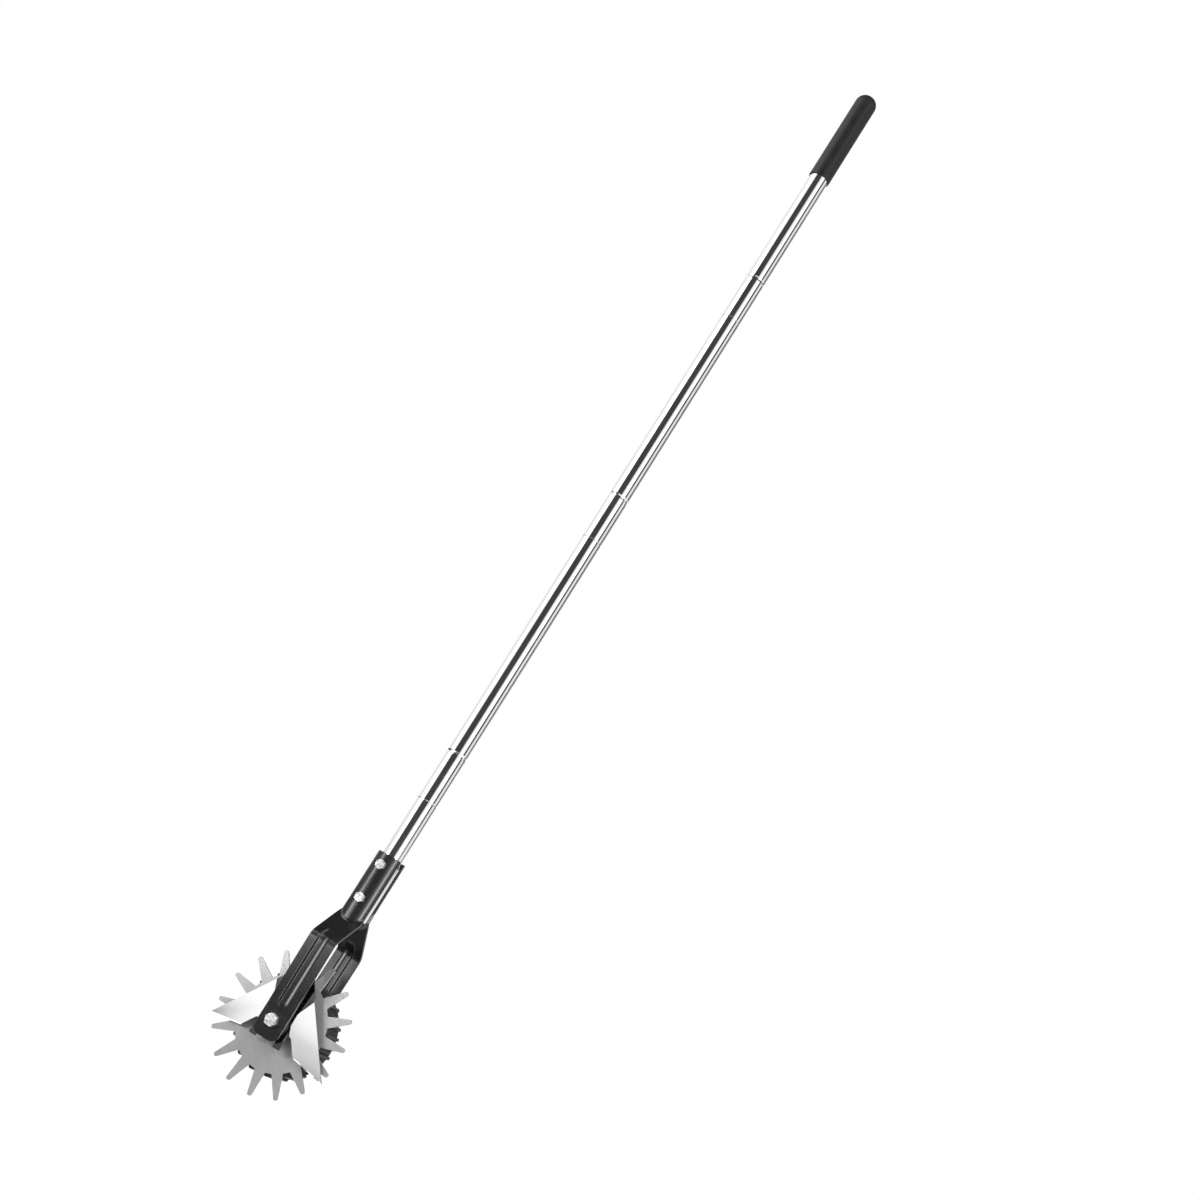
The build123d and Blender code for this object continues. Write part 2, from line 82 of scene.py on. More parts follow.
def soften_edges(bm, edges, width, segments=2):
    """Break or round a set of edges."""
    bmesh.ops.bevel(bm, geom=list(edges), offset=width, offset_type="OFFSET", segments=segments,
                    profile=0.5, affect="EDGES", material=-1, clamp_overlap=True)


def sharp_edges(bm, angle):
    """Edges whose two faces meet at more than an angle in degrees."""
    inner = [edge for edge in bm.edges if len(edge.link_faces) == 2]
    return [edge for edge in inner if edge.calc_face_angle() > radians(angle)]


def moved(geometry):
    """Vertices among what an operator returns."""
    return [item for item in geometry if isinstance(item, bmesh.types.BMVert)]


def hold_ends(bm):
    """Hold both ends of long straight runs, so that a small round beside them shades only its own width."""
    for edge in [edge for edge in bm.edges if edge.calc_length() > 5 * HOLD]:
        start, end = edge.verts
        length = edge.calc_length()
        held = bmesh.utils.edge_split(edge, start, HOLD / length)[1]
        bmesh.utils.edge_split(bm.edges.get((held, end)), end, HOLD / (length - HOLD))


def turned(axis, corners, steps=96):
    """Turned shell; its section's corners are (radius, place along the axis) and, if rounded, a radius."""
    centre, direction = axis
    bm = bmesh.new()
    verts = [bm.verts.new(centre + Vector((corner[0], 0, 0)) + direction * corner[1]) for corner in corners]
    bm.faces.new(verts)
    for vert, corner in zip(verts, corners):
        if len(corner) == 3:
            soften_corner(bm, vert, corner[2])
    bmesh.ops.delete(bm, geom=bm.faces[:], context="FACES_ONLY")
    hold_ends(bm)
    on_axis = [edge for edge in bm.edges if all(abs(vert.co.x - centre.x) < MERGE for vert in edge.verts)]
    bmesh.ops.delete(bm, geom=on_axis, context="EDGES")
    bmesh.ops.spin(bm, geom=bm.verts[:] + bm.edges[:], cent=centre, axis=direction, angle=2 * pi,
                   steps=steps, use_merge=True)
    bmesh.ops.remove_doubles(bm, verts=bm.verts, dist=MERGE)
    bmesh.ops.recalc_face_normals(bm, faces=bm.faces)
    return bm


def repeat_round(bm, axis, count):
    """Repeat what a mesh holds evenly round an axis."""
    centre, direction = axis
    bmesh.ops.spin(bm, geom=bm.verts[:] + bm.edges[:] + bm.faces[:], cent=centre, axis=direction,
                   angle=2 * pi * (count - 1) / count, steps=count - 1, use_duplicate=True)
    bmesh.ops.remove_doubles(bm, verts=bm.verts, dist=MERGE)
    return bm


def joined(*parts):
    """Several meshes as one."""
    whole = bmesh.new()
    for part in parts:
        mesh = bpy.data.meshes.new("part")
        part.to_mesh(mesh)
        part.free()
        whole.from_mesh(mesh)
        bpy.data.meshes.remove(mesh)
    return whole


def add_piece(name, bm, finish, body, *stands_for, crease=32):
    """Turn a mesh into a piece that rides on a body and stands for CAD nodes; its finish names its slot."""
    bmesh.ops.recalc_face_normals(bm, faces=bm.faces)
    mesh = bpy.data.meshes.new(name)
    bm.to_mesh(mesh)
    bm.free()
    mesh.shade_smooth()
    mesh.set_sharp_from_angle(angle=radians(crease))
    mesh.materials.append(finish)
    piece = bpy.data.objects.new(name, mesh)
    bpy.context.scene.collection.objects.link(piece)
    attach(piece, body)
    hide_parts(*stands_for)
    return piece


# Shader helpers
def is_socket(value):
    return isinstance(value, bpy.types.NodeSocket)


def put(tree, socket, value):
    """Link a socket's output, or set a plain value."""
    if is_socket(value):
        tree.links.new(value, socket)
    else:
        socket.default_value = value


def node(tree, kind, settings=(), **inputs):
    """Add a shader node; inputs are named as on the node, with spaces as underscores."""
    added = tree.nodes.new(kind)
    for key, value in dict(settings).items():
        setattr(added, key, value)
    for key, value in inputs.items():
        put(tree, added.inputs[key.replace("_", " ")], value)
    return added


def maths(tree, operation, first, second=0.0):
    added = node(tree, "ShaderNodeMath", {"operation": operation})
    put(tree, added.inputs[0], first)
    put(tree, added.inputs[1], second)
    return added.outputs[0]


def ramp(tree, value, low, high, to_low=0.0, to_high=1.0, smooth=False):
    """Value carried from one range to another and held at its ends."""
    kind = {"interpolation_type": "SMOOTHSTEP"} if smooth else {}
    added = node(tree, "ShaderNodeMapRange", kind)
    for index, entry in enumerate((value, low, high, to_low, to_high)):
        put(tree, added.inputs[index], entry)
    return added.outputs[0]


def blend(tree, share, first, second):
    """Mix of two colours."""
    added = node(tree, "ShaderNodeMix", {"data_type": "RGBA"})
    for index, entry in ((0, share), (6, first), (7, second)):
        put(tree, added.inputs[index], entry)
    return added.outputs[2]


def noise(tree, place, size, detail=3.0, roughness=0.55):
    added = node(tree, "ShaderNodeTexNoise", Vector=place, Scale=size, Detail=detail, Roughness=roughness)
    return added.outputs["Fac"]


def grey(value):
    return (value, value, value, 1.0)


def new_group(name, inputs, outputs):
    """Empty node group with named sockets; returns its tree, its input node and its output node."""
    tree = bpy.data.node_groups.new(name, "ShaderNodeTree")
    for label, kind in inputs:
        tree.interface.new_socket(label, in_out="INPUT", socket_type=f"NodeSocket{kind}")
    for label, kind in outputs:
        tree.interface.new_socket(label, in_out="OUTPUT", socket_type=f"NodeSocket{kind}")
    return tree, tree.nodes.new("NodeGroupInput"), tree.nodes.new("NodeGroupOutput")


def clouding_group():
    """Slow drift of colour and gloss over a surface."""
    tree, given, made = new_group(
        "clouding",
        [("Place", "Vector"), ("Size", "Float"), ("Dark", "Color"), ("Light", "Color"), ("Gloss", "Float"),
         ("Matte", "Float")],
        [("Colour", "Color"), ("Roughness", "Float")],
    )
    cloud = ramp(tree, noise(tree, given.outputs["Place"], given.outputs["Size"], 4.0), 0.3, 0.7)
    tint = blend(tree, cloud, given.outputs["Dark"], given.outputs["Light"])
    tree.links.new(tint, made.inputs["Colour"])
    rough = ramp(tree, cloud, 0.0, 1.0, given.outputs["Gloss"], given.outputs["Matte"])
    tree.links.new(rough, made.inputs["Roughness"])
    return tree


def drawn_lines_group():
    """Fine parallel lines, as brushing, polishing or a belt leaves them."""
    tree, given, made = new_group(
        "drawn_lines",
        [("Place", "Vector"), ("Turn", "Vector"), ("Stretch", "Vector")],
        [("Lines", "Float")],
    )
    spun = node(tree, "ShaderNodeMapping", {"vector_type": "TEXTURE"}, Vector=given.outputs["Place"],
                Rotation=given.outputs["Turn"])
    pulled = node(tree, "ShaderNodeVectorMath", {"operation": "MULTIPLY"})
    put(tree, pulled.inputs[0], spun.outputs[0])
    put(tree, pulled.inputs[1], given.outputs["Stretch"])
    tree.links.new(noise(tree, pulled.outputs[0], 1.0, 3.0, 0.65), made.inputs["Lines"])
    return tree


def skin_group():
    """Pebbled skin of a powder coat or a moulding, with a mask of pale specks of dust."""
    tree, given, made = new_group(
        "skin",
        [("Place", "Vector"), ("Pebble Size", "Float"), ("Speck Size", "Float"), ("Specks", "Float")],
        [("Height", "Float"), ("Dust", "Float")],
    )
    pebble = node(tree, "ShaderNodeTexVoronoi", {"feature": "SMOOTH_F1"}, Vector=given.outputs["Place"],
                  Scale=given.outputs["Pebble Size"])
    fine = noise(tree, given.outputs["Place"], maths(tree, "MULTIPLY", given.outputs["Pebble Size"], 1.7))
    height = maths(tree, "ADD", pebble.outputs["Distance"], maths(tree, "MULTIPLY", fine, 0.6))
    tree.links.new(height, made.inputs["Height"])
    grain = noise(tree, given.outputs["Place"], given.outputs["Speck Size"], 2.0, 0.7)
    speck = ramp(tree, grain, 0.6, 0.76)
    tree.links.new(maths(tree, "MULTIPLY", speck, given.outputs["Specks"]), made.inputs["Dust"])
    return tree


CLOUDING = clouding_group()
DRAWN_LINES = drawn_lines_group()
SKIN = skin_group()
DUST_TONE = 0.09
SPECK_SHARE = 0.45
SKIN_DEPTH = 0.09 * MM
LINE_TONE = 0.16
LINE_ROUGHNESS = 0.05
LINE_DEPTH = 0.03 * MM


def effect(tree, group, **inputs):
    """Place a shared effect in a material."""
    return node(tree, "ShaderNodeGroup", {"node_tree": group}, **inputs)


def new_finish(name, colour, **constants):
    """Material with plain values on its shader; returns it with its tree, shader and object coordinates."""
    finish = bpy.data.materials.new(name + FINISH)
    finish.use_nodes = True
    finish.diffuse_color = colour
    tree = finish.node_tree
    shader = tree.nodes["Principled BSDF"]
    for key, value in constants.items():
        shader.inputs[key.replace("_", " ")].default_value = value
    place = tree.nodes.new("ShaderNodeTexCoord").outputs["Object"]
    return finish, tree, shader, place


def bump(tree, shader, height, strength, depth):
    """Relief on a shader's normal."""
    relief = node(tree, "ShaderNodeBump", Height=height, Strength=strength, Distance=depth)
    tree.links.new(relief.outputs[0], shader.inputs["Normal"])


def skinned_finish(name, dark, light, gloss, matte, cloud, pebble, relief, dust, level):
    """Black coat, rubber or moulded plastic: clouded tone, pebbled skin and a little dust."""
    finish, tree, shader, place = new_finish(name, grey(light), Metallic=0.0, Specular_IOR_Level=level)
    tone = effect(tree, CLOUDING, Place=place, Size=cloud, Dark=grey(dark), Light=grey(light), Gloss=gloss,
                  Matte=matte)
    skin = effect(tree, SKIN, Place=place, Pebble_Size=pebble, Speck_Size=pebble * SPECK_SHARE, Specks=dust)
    dusted = blend(tree, skin.outputs["Dust"], tone.outputs["Colour"], grey(DUST_TONE))
    put(tree, shader.inputs["Base Color"], dusted)
    put(tree, shader.inputs["Roughness"], tone.outputs["Roughness"])
    bump(tree, shader, skin.outputs["Height"], relief, SKIN_DEPTH)
    return finish


def lined_metal(name, dark, light, gloss, matte, cloud, turn, stretch, relief, contrast, **constants):
    """Bare metal with clouded tone and drawn lines that show in its colour, gloss and relief."""
    constants.setdefault("Metallic", 1.0)
    finish, tree, shader, place = new_finish(name, light, **constants)
    tone = effect(tree, CLOUDING, Place=place, Size=cloud, Dark=dark, Light=light, Gloss=gloss, Matte=matte)
    lines = effect(tree, DRAWN_LINES, Place=place, Turn=turn, Stretch=stretch).outputs["Lines"]
    shade = ramp(tree, lines, 0.32, 0.68, contrast, 0.0)
    put(tree, shader.inputs["Base Color"], blend(tree, shade, tone.outputs["Colour"], grey(LINE_TONE)))
    rough = maths(tree, "ADD", tone.outputs["Roughness"], ramp(tree, lines, 0.3, 0.7, LINE_ROUGHNESS, 0.0))
    put(tree, shader.inputs["Roughness"], rough)
    bump(tree, shader, lines, relief, LINE_DEPTH)
    return finish


def mottled_zinc():
    """Bright zinc plate with the mottle of a forged, barrel-plated head."""
    finish, tree, shader, place = new_finish("zinc_steel", (0.85, 0.86, 0.87, 1.0), Metallic=0.9)
    tone = effect(tree, CLOUDING, Place=place, Size=420.0, Dark=(0.26, 0.27, 0.28, 1.0),
                  Light=(0.74, 0.74, 0.745, 1.0), Gloss=0.30, Matte=0.42)
    put(tree, shader.inputs["Base Color"], tone.outputs["Colour"])
    put(tree, shader.inputs["Roughness"], tone.outputs["Roughness"])
    bump(tree, shader, noise(tree, place, 700.0), strength=0.22, depth=0.08 * MM)
    return finish


def white_acetal():
    """Natural acetal of the bushes, faintly clouded."""
    finish, tree, shader, place = new_finish("bush_nylon", (0.75, 0.74, 0.70, 1.0), Subsurface_Weight=0.15)
    shader.inputs["Subsurface Radius"].default_value = (2.0 * MM, 1.6 * MM, 1.2 * MM)
    tone = effect(tree, CLOUDING, Place=place, Size=240.0, Dark=(0.70, 0.69, 0.64, 1.0),
                  Light=(0.80, 0.79, 0.75, 1.0), Gloss=0.32, Matte=0.42)
    put(tree, shader.inputs["Base Color"], tone.outputs["Colour"])
    put(tree, shader.inputs["Roughness"], tone.outputs["Roughness"])
    bump(tree, shader, noise(tree, place, 900.0), strength=0.08, depth=0.05 * MM)
    return finish


BRUSHED_ACROSS_STAR = (0.0, radians(31), 0.0)
POLISHED_ALONG_BLADE = (0.0, radians(62), 0.0)
black_coat = skinned_finish("black_coat", dark=0.0030, light=0.0050, gloss=0.22, matte=0.28, cloud=45.0,
                            pebble=1500.0, relief=0.14, dust=0.06, level=0.5)
tyre_rubber = skinned_finish("tyre_rubber", dark=0.006, light=0.011, gloss=0.40, matte=0.52, cloud=60.0,
                             pebble=1100.0, relief=0.30, dust=0.15, level=0.32)
grip_rubber = skinned_finish("grip_rubber", dark=0.006, light=0.010, gloss=0.44, matte=0.56, cloud=60.0,
                             pebble=1600.0, relief=0.22, dust=0.12, level=0.35)
hub_plastic = skinned_finish("hub_plastic", dark=0.012, light=0.018, gloss=0.36, matte=0.48, cloud=70.0,
                             pebble=1400.0, relief=0.25, dust=0.15, level=0.5)
joint_nylon = skinned_finish("joint_nylon", dark=0.007, light=0.012, gloss=0.45, matte=0.58, cloud=90.0,
                             pebble=1300.0, relief=0.20, dust=0.06, level=0.18)
blade_polish = lined_metal("blade_polish", dark=(0.80, 0.80, 0.81, 1), light=(0.84, 0.84, 0.845, 1),
                           gloss=0.04, matte=0.06, cloud=35.0, turn=POLISHED_ALONG_BLADE,
                           stretch=(9000, 40, 60), relief=0.008, contrast=0.02)
star_steel = lined_metal("star_steel", dark=(0.39, 0.39, 0.397, 1), light=(0.44, 0.44, 0.444, 1),
                         gloss=0.29, matte=0.34, cloud=22.0, turn=BRUSHED_ACROSS_STAR,
                         stretch=(50, 50, 2600), relief=0.07, contrast=0.40, Metallic=0.82)
pole_polish = lined_metal("pole_polish", dark=(0.76, 0.76, 0.775, 1), light=(0.83, 0.83, 0.835, 1),
                          gloss=0.06, matte=0.11, cloud=16.0, turn=(0, 0, 0),
                          stretch=(300, 300, 4200), relief=0.04, contrast=0.05)
zinc_steel = mottled_zinc()
bush_nylon = white_acetal()


# Fork arms: the outer face of the sheet, in heights above the axle
SHEET = 3.0 * MM
ARM_HALF = reach("near_fork_arm", "x")[1]
FOOT_Z = reach("near_fork_arm", "z")[0] - AXLE_Z
SHELL_TOP = reach("near_fork_arm", "z")[1] - AXLE_Z
FOOT_ROUND = 9.5 * MM
LEG_OUT = 40.0 * MM
LEG_FLAT = 10.0 * MM
LEG_LEAN = 3.0 * MM
BEND_Z = 96.2 * MM
STUB_FOOT = reach("pole_stub", "x")[1]
SHELL_RADIUS = STUB_FOOT + SHEET
SHELL_SPLIT = 7.75 * MM
SHOULDER_SLOPE = 1.0
SHELL_FOOT = BEND_Z + (LEG_OUT + LEG_LEAN - SHELL_RADIUS) * SHOULDER_SLOPE
EAR_TOP = SHELL_FOOT + (SHELL_RADIUS - SHELL_SPLIT) * SHOULDER_SLOPE
EAR_ROUND = 8.0 * MM
RIB_HEIGHT = 2.8 * MM
RIB_CROWN = 2.2 * MM
RIB_FLANK = 4.4 * MM
RIB_LOW_Z = 20.0 * MM
RIB_ON_SHOULDER = 13.0 * MM
ARM_COLUMNS = 48
ARM_ROW = 1.0 * MM
FOOT_ROWS = 14
BEND_REACH = 11.0 * MM
BEND_PASSES = 40
JOINT_PASSES = 7
ARM_BREAK = 0.7 * MM
SPINE = [Vector((-LEG_OUT, FOOT_Z)), Vector((-LEG_OUT, LEG_FLAT)), Vector((-LEG_OUT - LEG_LEAN, BEND_Z)),
         Vector((-SHELL_RADIUS, SHELL_FOOT)), Vector((-SHELL_RADIUS, SHELL_TOP))]
SPINE_STEPS = [(end - start).length for start, end in zip(SPINE, SPINE[1:])]
BEND_RUN = sum(SPINE_STEPS[:2])
SHELL_RUN = sum(SPINE_STEPS[:3])
ARM_RUN = sum(SPINE_STEPS)


def smooth_step(share):
    share = max(0.0, min(1.0, share))
    return share * share * (3 - 2 * share)


def on_spine(run):
    """Place (y, height) at a distance up the arm's middle line."""
    for start, end, length in zip(SPINE, SPINE[1:], SPINE_STEPS):
        if run <= length:
            return start.lerp(end, run / length)
        run -= length
    return SPINE[-1]


def arm_rows():
    """Distances of the sheet's rows up the arm, closer together round the foot."""
    foot = [FOOT_ROUND * (1 - cos(pi / 2 * k / FOOT_ROWS)) for k in range(FOOT_ROWS)]
    count = ceil((ARM_RUN - FOOT_ROUND) / ARM_ROW)
    return foot + [FOOT_ROUND + (ARM_RUN - FOOT_ROUND) * k / count for k in range(count + 1)]


def arm_point(share, run):
    """Point of the outer face, from -1 to 1 across and a distance up the arm."""
    y, height = on_spine(run)
    if run <= SHELL_RUN:
        cut = max(0.0, FOOT_ROUND - run)
        half = ARM_HALF - FOOT_ROUND + sqrt(FOOT_ROUND**2 - cut**2)
        return Vector((share * half, y, height + AXLE_Z))
    plate = min(-SHELL_SPLIT, (height - SHELL_FOOT) / SHOULDER_SLOPE - SHELL_RADIUS)
    turn = acos(-plate / SHELL_RADIUS)
    round_end = SHELL_RADIUS * sin(acos(SHELL_SPLIT / SHELL_RADIUS))
    lost = max(0.0, min(1.0, (height - EAR_TOP + EAR_ROUND) / EAR_ROUND))
    ear_end = round_end + (ARM_HALF - round_end) * sqrt(1 - lost**2)
    arc = SHELL_RADIUS * turn
    ear = max(0.0, ear_end - SHELL_RADIUS * sin(turn))
    across = abs(share) * (arc + ear)
    side = 1 if share > 0 else -1
    if across > arc:
        return Vector((side * (SHELL_RADIUS * sin(turn) + across - arc), plate, height + AXLE_Z))
    angle = across / SHELL_RADIUS
    return Vector((side * SHELL_RADIUS * sin(angle), -SHELL_RADIUS * cos(angle), height + AXLE_Z))


def stamped_arm():
    """Near arm: a sheet laid along its outer face, eased at the bends, ribbed and thickened inwards."""
    bm = bmesh.new()
    rows = arm_rows()
    bmesh.ops.create_grid(bm, x_segments=ARM_COLUMNS, y_segments=len(rows) - 1, size=1.0)
    run_of = {}
    for vert in bm.verts:
        run_of[vert] = rows[round((vert.co.y + 1) / 2 * (len(rows) - 1))]
        vert.co = arm_point(vert.co.x, run_of[vert])
    bent = [v for v in bm.verts if abs(run_of[v] - BEND_RUN) < BEND_REACH]
    joint = [v for v in bm.verts if -BEND_REACH < run_of[v] - SHELL_RUN < EAR_TOP - SHELL_FOOT + BEND_REACH]
    inside = [v for v in joint if not v.is_boundary]
    rim = [v for v in joint if v.is_boundary]
    for _ in range(BEND_PASSES):
        bmesh.ops.smooth_vert(bm, verts=bent, factor=0.5, use_axis_y=True, use_axis_z=True)
    for _ in range(JOINT_PASSES):
        bmesh.ops.smooth_vert(bm, verts=inside, factor=0.5, use_axis_x=True, use_axis_y=True,
                              use_axis_z=True)
        bmesh.ops.smooth_vert(bm, verts=rim, factor=0.25, use_axis_y=True, use_axis_z=True)
    if sum(face.normal.y for face in bm.faces) > 0:
        bmesh.ops.reverse_faces(bm, faces=bm.faces)
    bm.normal_update()
    rib_from = RIB_LOW_Z - FOOT_Z
    rib_to = BEND_RUN + RIB_ON_SHOULDER
    for vert, normal in [(v, v.normal.copy()) for v in bm.verts]:
        below = max(0.0, rib_from - run_of[vert])
        above = max(0.0, run_of[vert] - rib_to)
        rise = smooth_step(1 - (hypot(below, above, vert.co.x) - RIB_CROWN) / RIB_FLANK)
        fade = 1 - smooth_step((run_of[vert] - BEND_RUN) / (RIB_ON_SHOULDER + RIB_CROWN + RIB_FLANK))
        vert.co += normal * RIB_HEIGHT * rise * fade
    bmesh.ops.solidify(bm, geom=bm.faces[:], thickness=SHEET)
    bmesh.ops.recalc_face_normals(bm, faces=bm.faces)
    soften_edges(bm, sharp_edges(bm, 60), ARM_BREAK, 3)
    return bm


add_piece("near_arm", stamped_arm(), black_coat, HANDLE, "near_fork_arm", crease=50)
far_arm = stamped_arm()
bmesh.ops.scale(far_arm, vec=(1, -1, 1), verts=far_arm.verts)
add_piece("far_arm", far_arm, black_coat, HANDLE, "far_fork_arm", crease=50)


# Fasteners
HEX_STEPS = 8
FACET = 12
FASTENER_STEPS = 48
CROWN_SLOPE = tan(radians(30))
COLLAR_WALL = 0.8 * MM
COLLAR_ROUND = 0.4 * MM
COLLAR_LIP = 0.2 * MM
INSERT_DROP = 0.5 * MM
INSERT_HEIGHT = 1.1 * MM
INSERT_EASE = 0.15 * MM
THREAD_RUNOUT = 0.4 * MM
BOLT_CHAMFER = 0.3 * MM
# Shares of a hex's width across its flats
CROWN_SHARE = 0.945
COLLAR_SHARE = 0.45
CROWN_INSET = 0.04
BORE_INSET = 0.02
RIM_INSET = 0.06
DISH_INSET = 0.08
DISH_DEPTH = 0.018
CORNER_EASE = 0.02
# Shares of a thread's pitch, of a nut's height and of its body's height
THREAD_DEPTH = 0.55
NUT_BODY = 0.74
COLLAR_ROOT = 0.6


def seat_frame(toward, y, z, turn):
    """Frame of a bearing face along Y: its Z leaves the face, and a corner of the hex lies on its X."""
    z_axis = Vector((0, toward, 0))
    x_axis = Vector((cos(radians(turn)), 0, sin(radians(turn))))
    frame_of_seat = Matrix((x_axis, z_axis.cross(x_axis), z_axis)).transposed().to_4x4()
    frame_of_seat.translation = (0, y, z)
    return frame_of_seat


def end_face(bm, top):
    """Flat end face of a hex at its top or its seat."""
    ends = sorted(bm.faces, key=lambda face: face.calc_center_median().z)
    return ends[-1] if top else ends[0]


def to_circle(verts, radius):
    """Lay vertices about the Z axis on a circle."""
    for vert in verts:
        level = vert.co.z
        vert.co = Vector((vert.co.x, vert.co.y, 0)).normalized() * radius
        vert.co.z = level


def hexagon(seat, across, height, bore=0.0):
    """Hex head or nut body on a seat: corners eased, crown chamfered to a circle; a bore makes it a nut."""
    bm = bmesh.new()
    bmesh.ops.create_circle(bm, cap_ends=True, segments=6, radius=across / sqrt(3))
    bmesh.ops.subdivide_edges(bm, edges=bm.edges[:], cuts=HEX_STEPS - 1)
    raised = bmesh.ops.extrude_face_region(bm, geom=bm.faces[:])["geom"]
    rim = moved(raised)
    bmesh.ops.translate(bm, verts=rim, vec=(0, 0, height))
    crown = CROWN_SHARE * across / 2
    bmesh.ops.inset_region(bm, faces=[end_face(bm, True)], thickness=CROWN_INSET * across)
    to_circle(end_face(bm, True).verts, crown)
    for vert in rim:
        vert.co.z -= (hypot(vert.co.x, vert.co.y) - crown) * CROWN_SLOPE
    if bore:
        bmesh.ops.inset_region(bm, faces=[end_face(bm, True)], thickness=BORE_INSET * across)
        to_circle(end_face(bm, True).verts, bore)
        bmesh.ops.inset_region(bm, faces=[end_face(bm, False)], thickness=CROWN_INSET * across)
        to_circle(end_face(bm, False).verts, bore)
        ends = [end_face(bm, True), end_face(bm, False)]
        loops = [edge for face in ends for edge in face.edges]
        bmesh.ops.delete(bm, geom=ends, context="FACES_ONLY")
        bmesh.ops.bridge_loops(bm, edges=loops)
    else:
        bmesh.ops.inset_region(bm, faces=[end_face(bm, True)], thickness=RIM_INSET * across)
        bmesh.ops.inset_region(bm, faces=[end_face(bm, True)], thickness=DISH_INSET * across,
                               depth=-DISH_DEPTH * across)
    bmesh.ops.recalc_face_normals(bm, faces=bm.faces)
    corners = [e for e in sharp_edges(bm, 50) if abs(e.verts[0].co.z - e.verts[1].co.z) > height / 2]
    outside = [e for e in corners if hypot(e.verts[0].co.x, e.verts[0].co.y) > crown]
    soften_edges(bm, outside, CORNER_EASE * across)
    bmesh.ops.transform(bm, matrix=seat, verts=bm.verts)
    return bm


def thread(axis, radius, start, end, pitch, steps=32):
    """Screw thread along an axis, cut off square at both ends."""
    centre, direction = axis
    bm = bmesh.new()
    depth = THREAD_DEPTH * pitch
    vee = [(radius - depth, -pitch), (radius, -pitch / 2), (radius - depth, 0.0)]
    verts = [bm.verts.new(centre + Vector((r, 0, 0)) + direction * (start + y)) for r, y in vee]
    for first, second in zip(verts, verts[1:]):
        bm.edges.new((first, second))
    turns = ceil((end - start) / pitch) + 1
    bmesh.ops.spin(bm, geom=bm.verts[:] + bm.edges[:], cent=centre, axis=direction, angle=2 * pi * turns,
                   dvec=direction * (pitch / steps), steps=steps * turns)
    bmesh.ops.remove_doubles(bm, verts=bm.verts, dist=MERGE)
    for place, outward in ((start, -direction), (end, direction)):
        bmesh.ops.bisect_plane(bm, geom=bm.verts[:] + bm.edges[:] + bm.faces[:], clear_outer=True,
                               plane_co=centre + direction * place, plane_no=outward)
    return bm


def hex_bolt(node_name, z, across, radius, head, turn, pitch, thread_length):
    """Hex bolt along Y: blank head towards the near side, plain shank, threaded and chamfered end."""
    axis = (Vector((0, 0, z)), Vector((0, 1, 0)))
    top, end = reach(node_name, "y")
    under_head = top + head
    thread_from = end - thread_length
    core = radius - THREAD_DEPTH * pitch
    corners = [(0, under_head), (radius, under_head), (radius, thread_from, THREAD_RUNOUT),
               (core, thread_from + THREAD_RUNOUT), (core, end - BOLT_CHAMFER), (core - BOLT_CHAMFER, end),
               (0, end)]
    shank = turned(axis, corners, FASTENER_STEPS)
    screw = thread(axis, radius, thread_from, end - 2 * BOLT_CHAMFER, pitch)
    return joined(hexagon(seat_frame(-1, under_head, z, turn), across, head), shank, screw)


def lock_nut(node_name, z, across, radius, turn):
    """Locking nut along Y: chamfered hex body and a round collar that holds the insert."""
    axis = (Vector((0, 0, z)), Vector((0, 1, 0)))
    seat, top = reach(node_name, "y")
    body = NUT_BODY * (top - seat)
    root = seat + COLLAR_ROOT * body
    collar = COLLAR_SHARE * across
    inner = collar - COLLAR_WALL
    ring = [(inner, root), (collar, root), (collar, top, COLLAR_ROUND), (inner, top, COLLAR_LIP)]
    nut_body = hexagon(seat_frame(1, seat, z, turn), across, body, radius + FIT_GAP)
    return joined(nut_body, turned(axis, ring, FASTENER_STEPS))


def nut_insert(node_name, z, across, radius):
    """Nylon ring inside a locking nut's collar."""
    axis = (Vector((0, 0, z)), Vector((0, 1, 0)))
    top = reach(node_name, "y")[1] - INSERT_DROP
    low = top - INSERT_HEIGHT
    outer = COLLAR_SHARE * across - COLLAR_WALL
    corners = [(radius, low), (outer, low), (outer, top, INSERT_EASE), (radius, top, INSERT_EASE)]
    return turned(axis, corners, FASTENER_STEPS)


AXLE_RADIUS = 4.0 * MM
AXLE_ACROSS = 13.0 * MM
AXLE_HEAD = 5.3 * MM
AXLE_TURN = 20.0
AXLE_THREAD_PITCH = 1.25 * MM
AXLE_THREAD = 20.0 * MM
CLAMP_RADIUS = 3.0 * MM
CLAMP_ACROSS = 10.0 * MM
CLAMP_HEAD = 4.0 * MM
CLAMP_TURN = 8.0
CLAMP_THREAD_PITCH = 1.0 * MM
CLAMP_THREAD = 9.0 * MM
CLAMP_SPACING = 40.0 * MM
clamp_levels = [middle("clamp_bolts", "z") + side * CLAMP_SPACING / 2 for side in (-1, 1)]

axle_bolt = hex_bolt("axle_bolt", AXLE_Z, AXLE_ACROSS, AXLE_RADIUS, AXLE_HEAD, AXLE_TURN,
                     AXLE_THREAD_PITCH, AXLE_THREAD)
add_piece("axle_hex_bolt", axle_bolt, zinc_steel, HANDLE, "axle_bolt", crease=FACET)
axle_nut = lock_nut("axle_nut", AXLE_Z, AXLE_ACROSS, AXLE_RADIUS, 0.0)
add_piece("axle_lock_nut", axle_nut, zinc_steel, HANDLE, "axle_nut", crease=FACET)
clamp_bolts = [hex_bolt("clamp_bolts", z, CLAMP_ACROSS, CLAMP_RADIUS, CLAMP_HEAD, CLAMP_TURN,
                        CLAMP_THREAD_PITCH, CLAMP_THREAD) for z in clamp_levels]
add_piece("clamp_hex_bolts", joined(*clamp_bolts), zinc_steel, HANDLE, "clamp_bolts", crease=FACET)
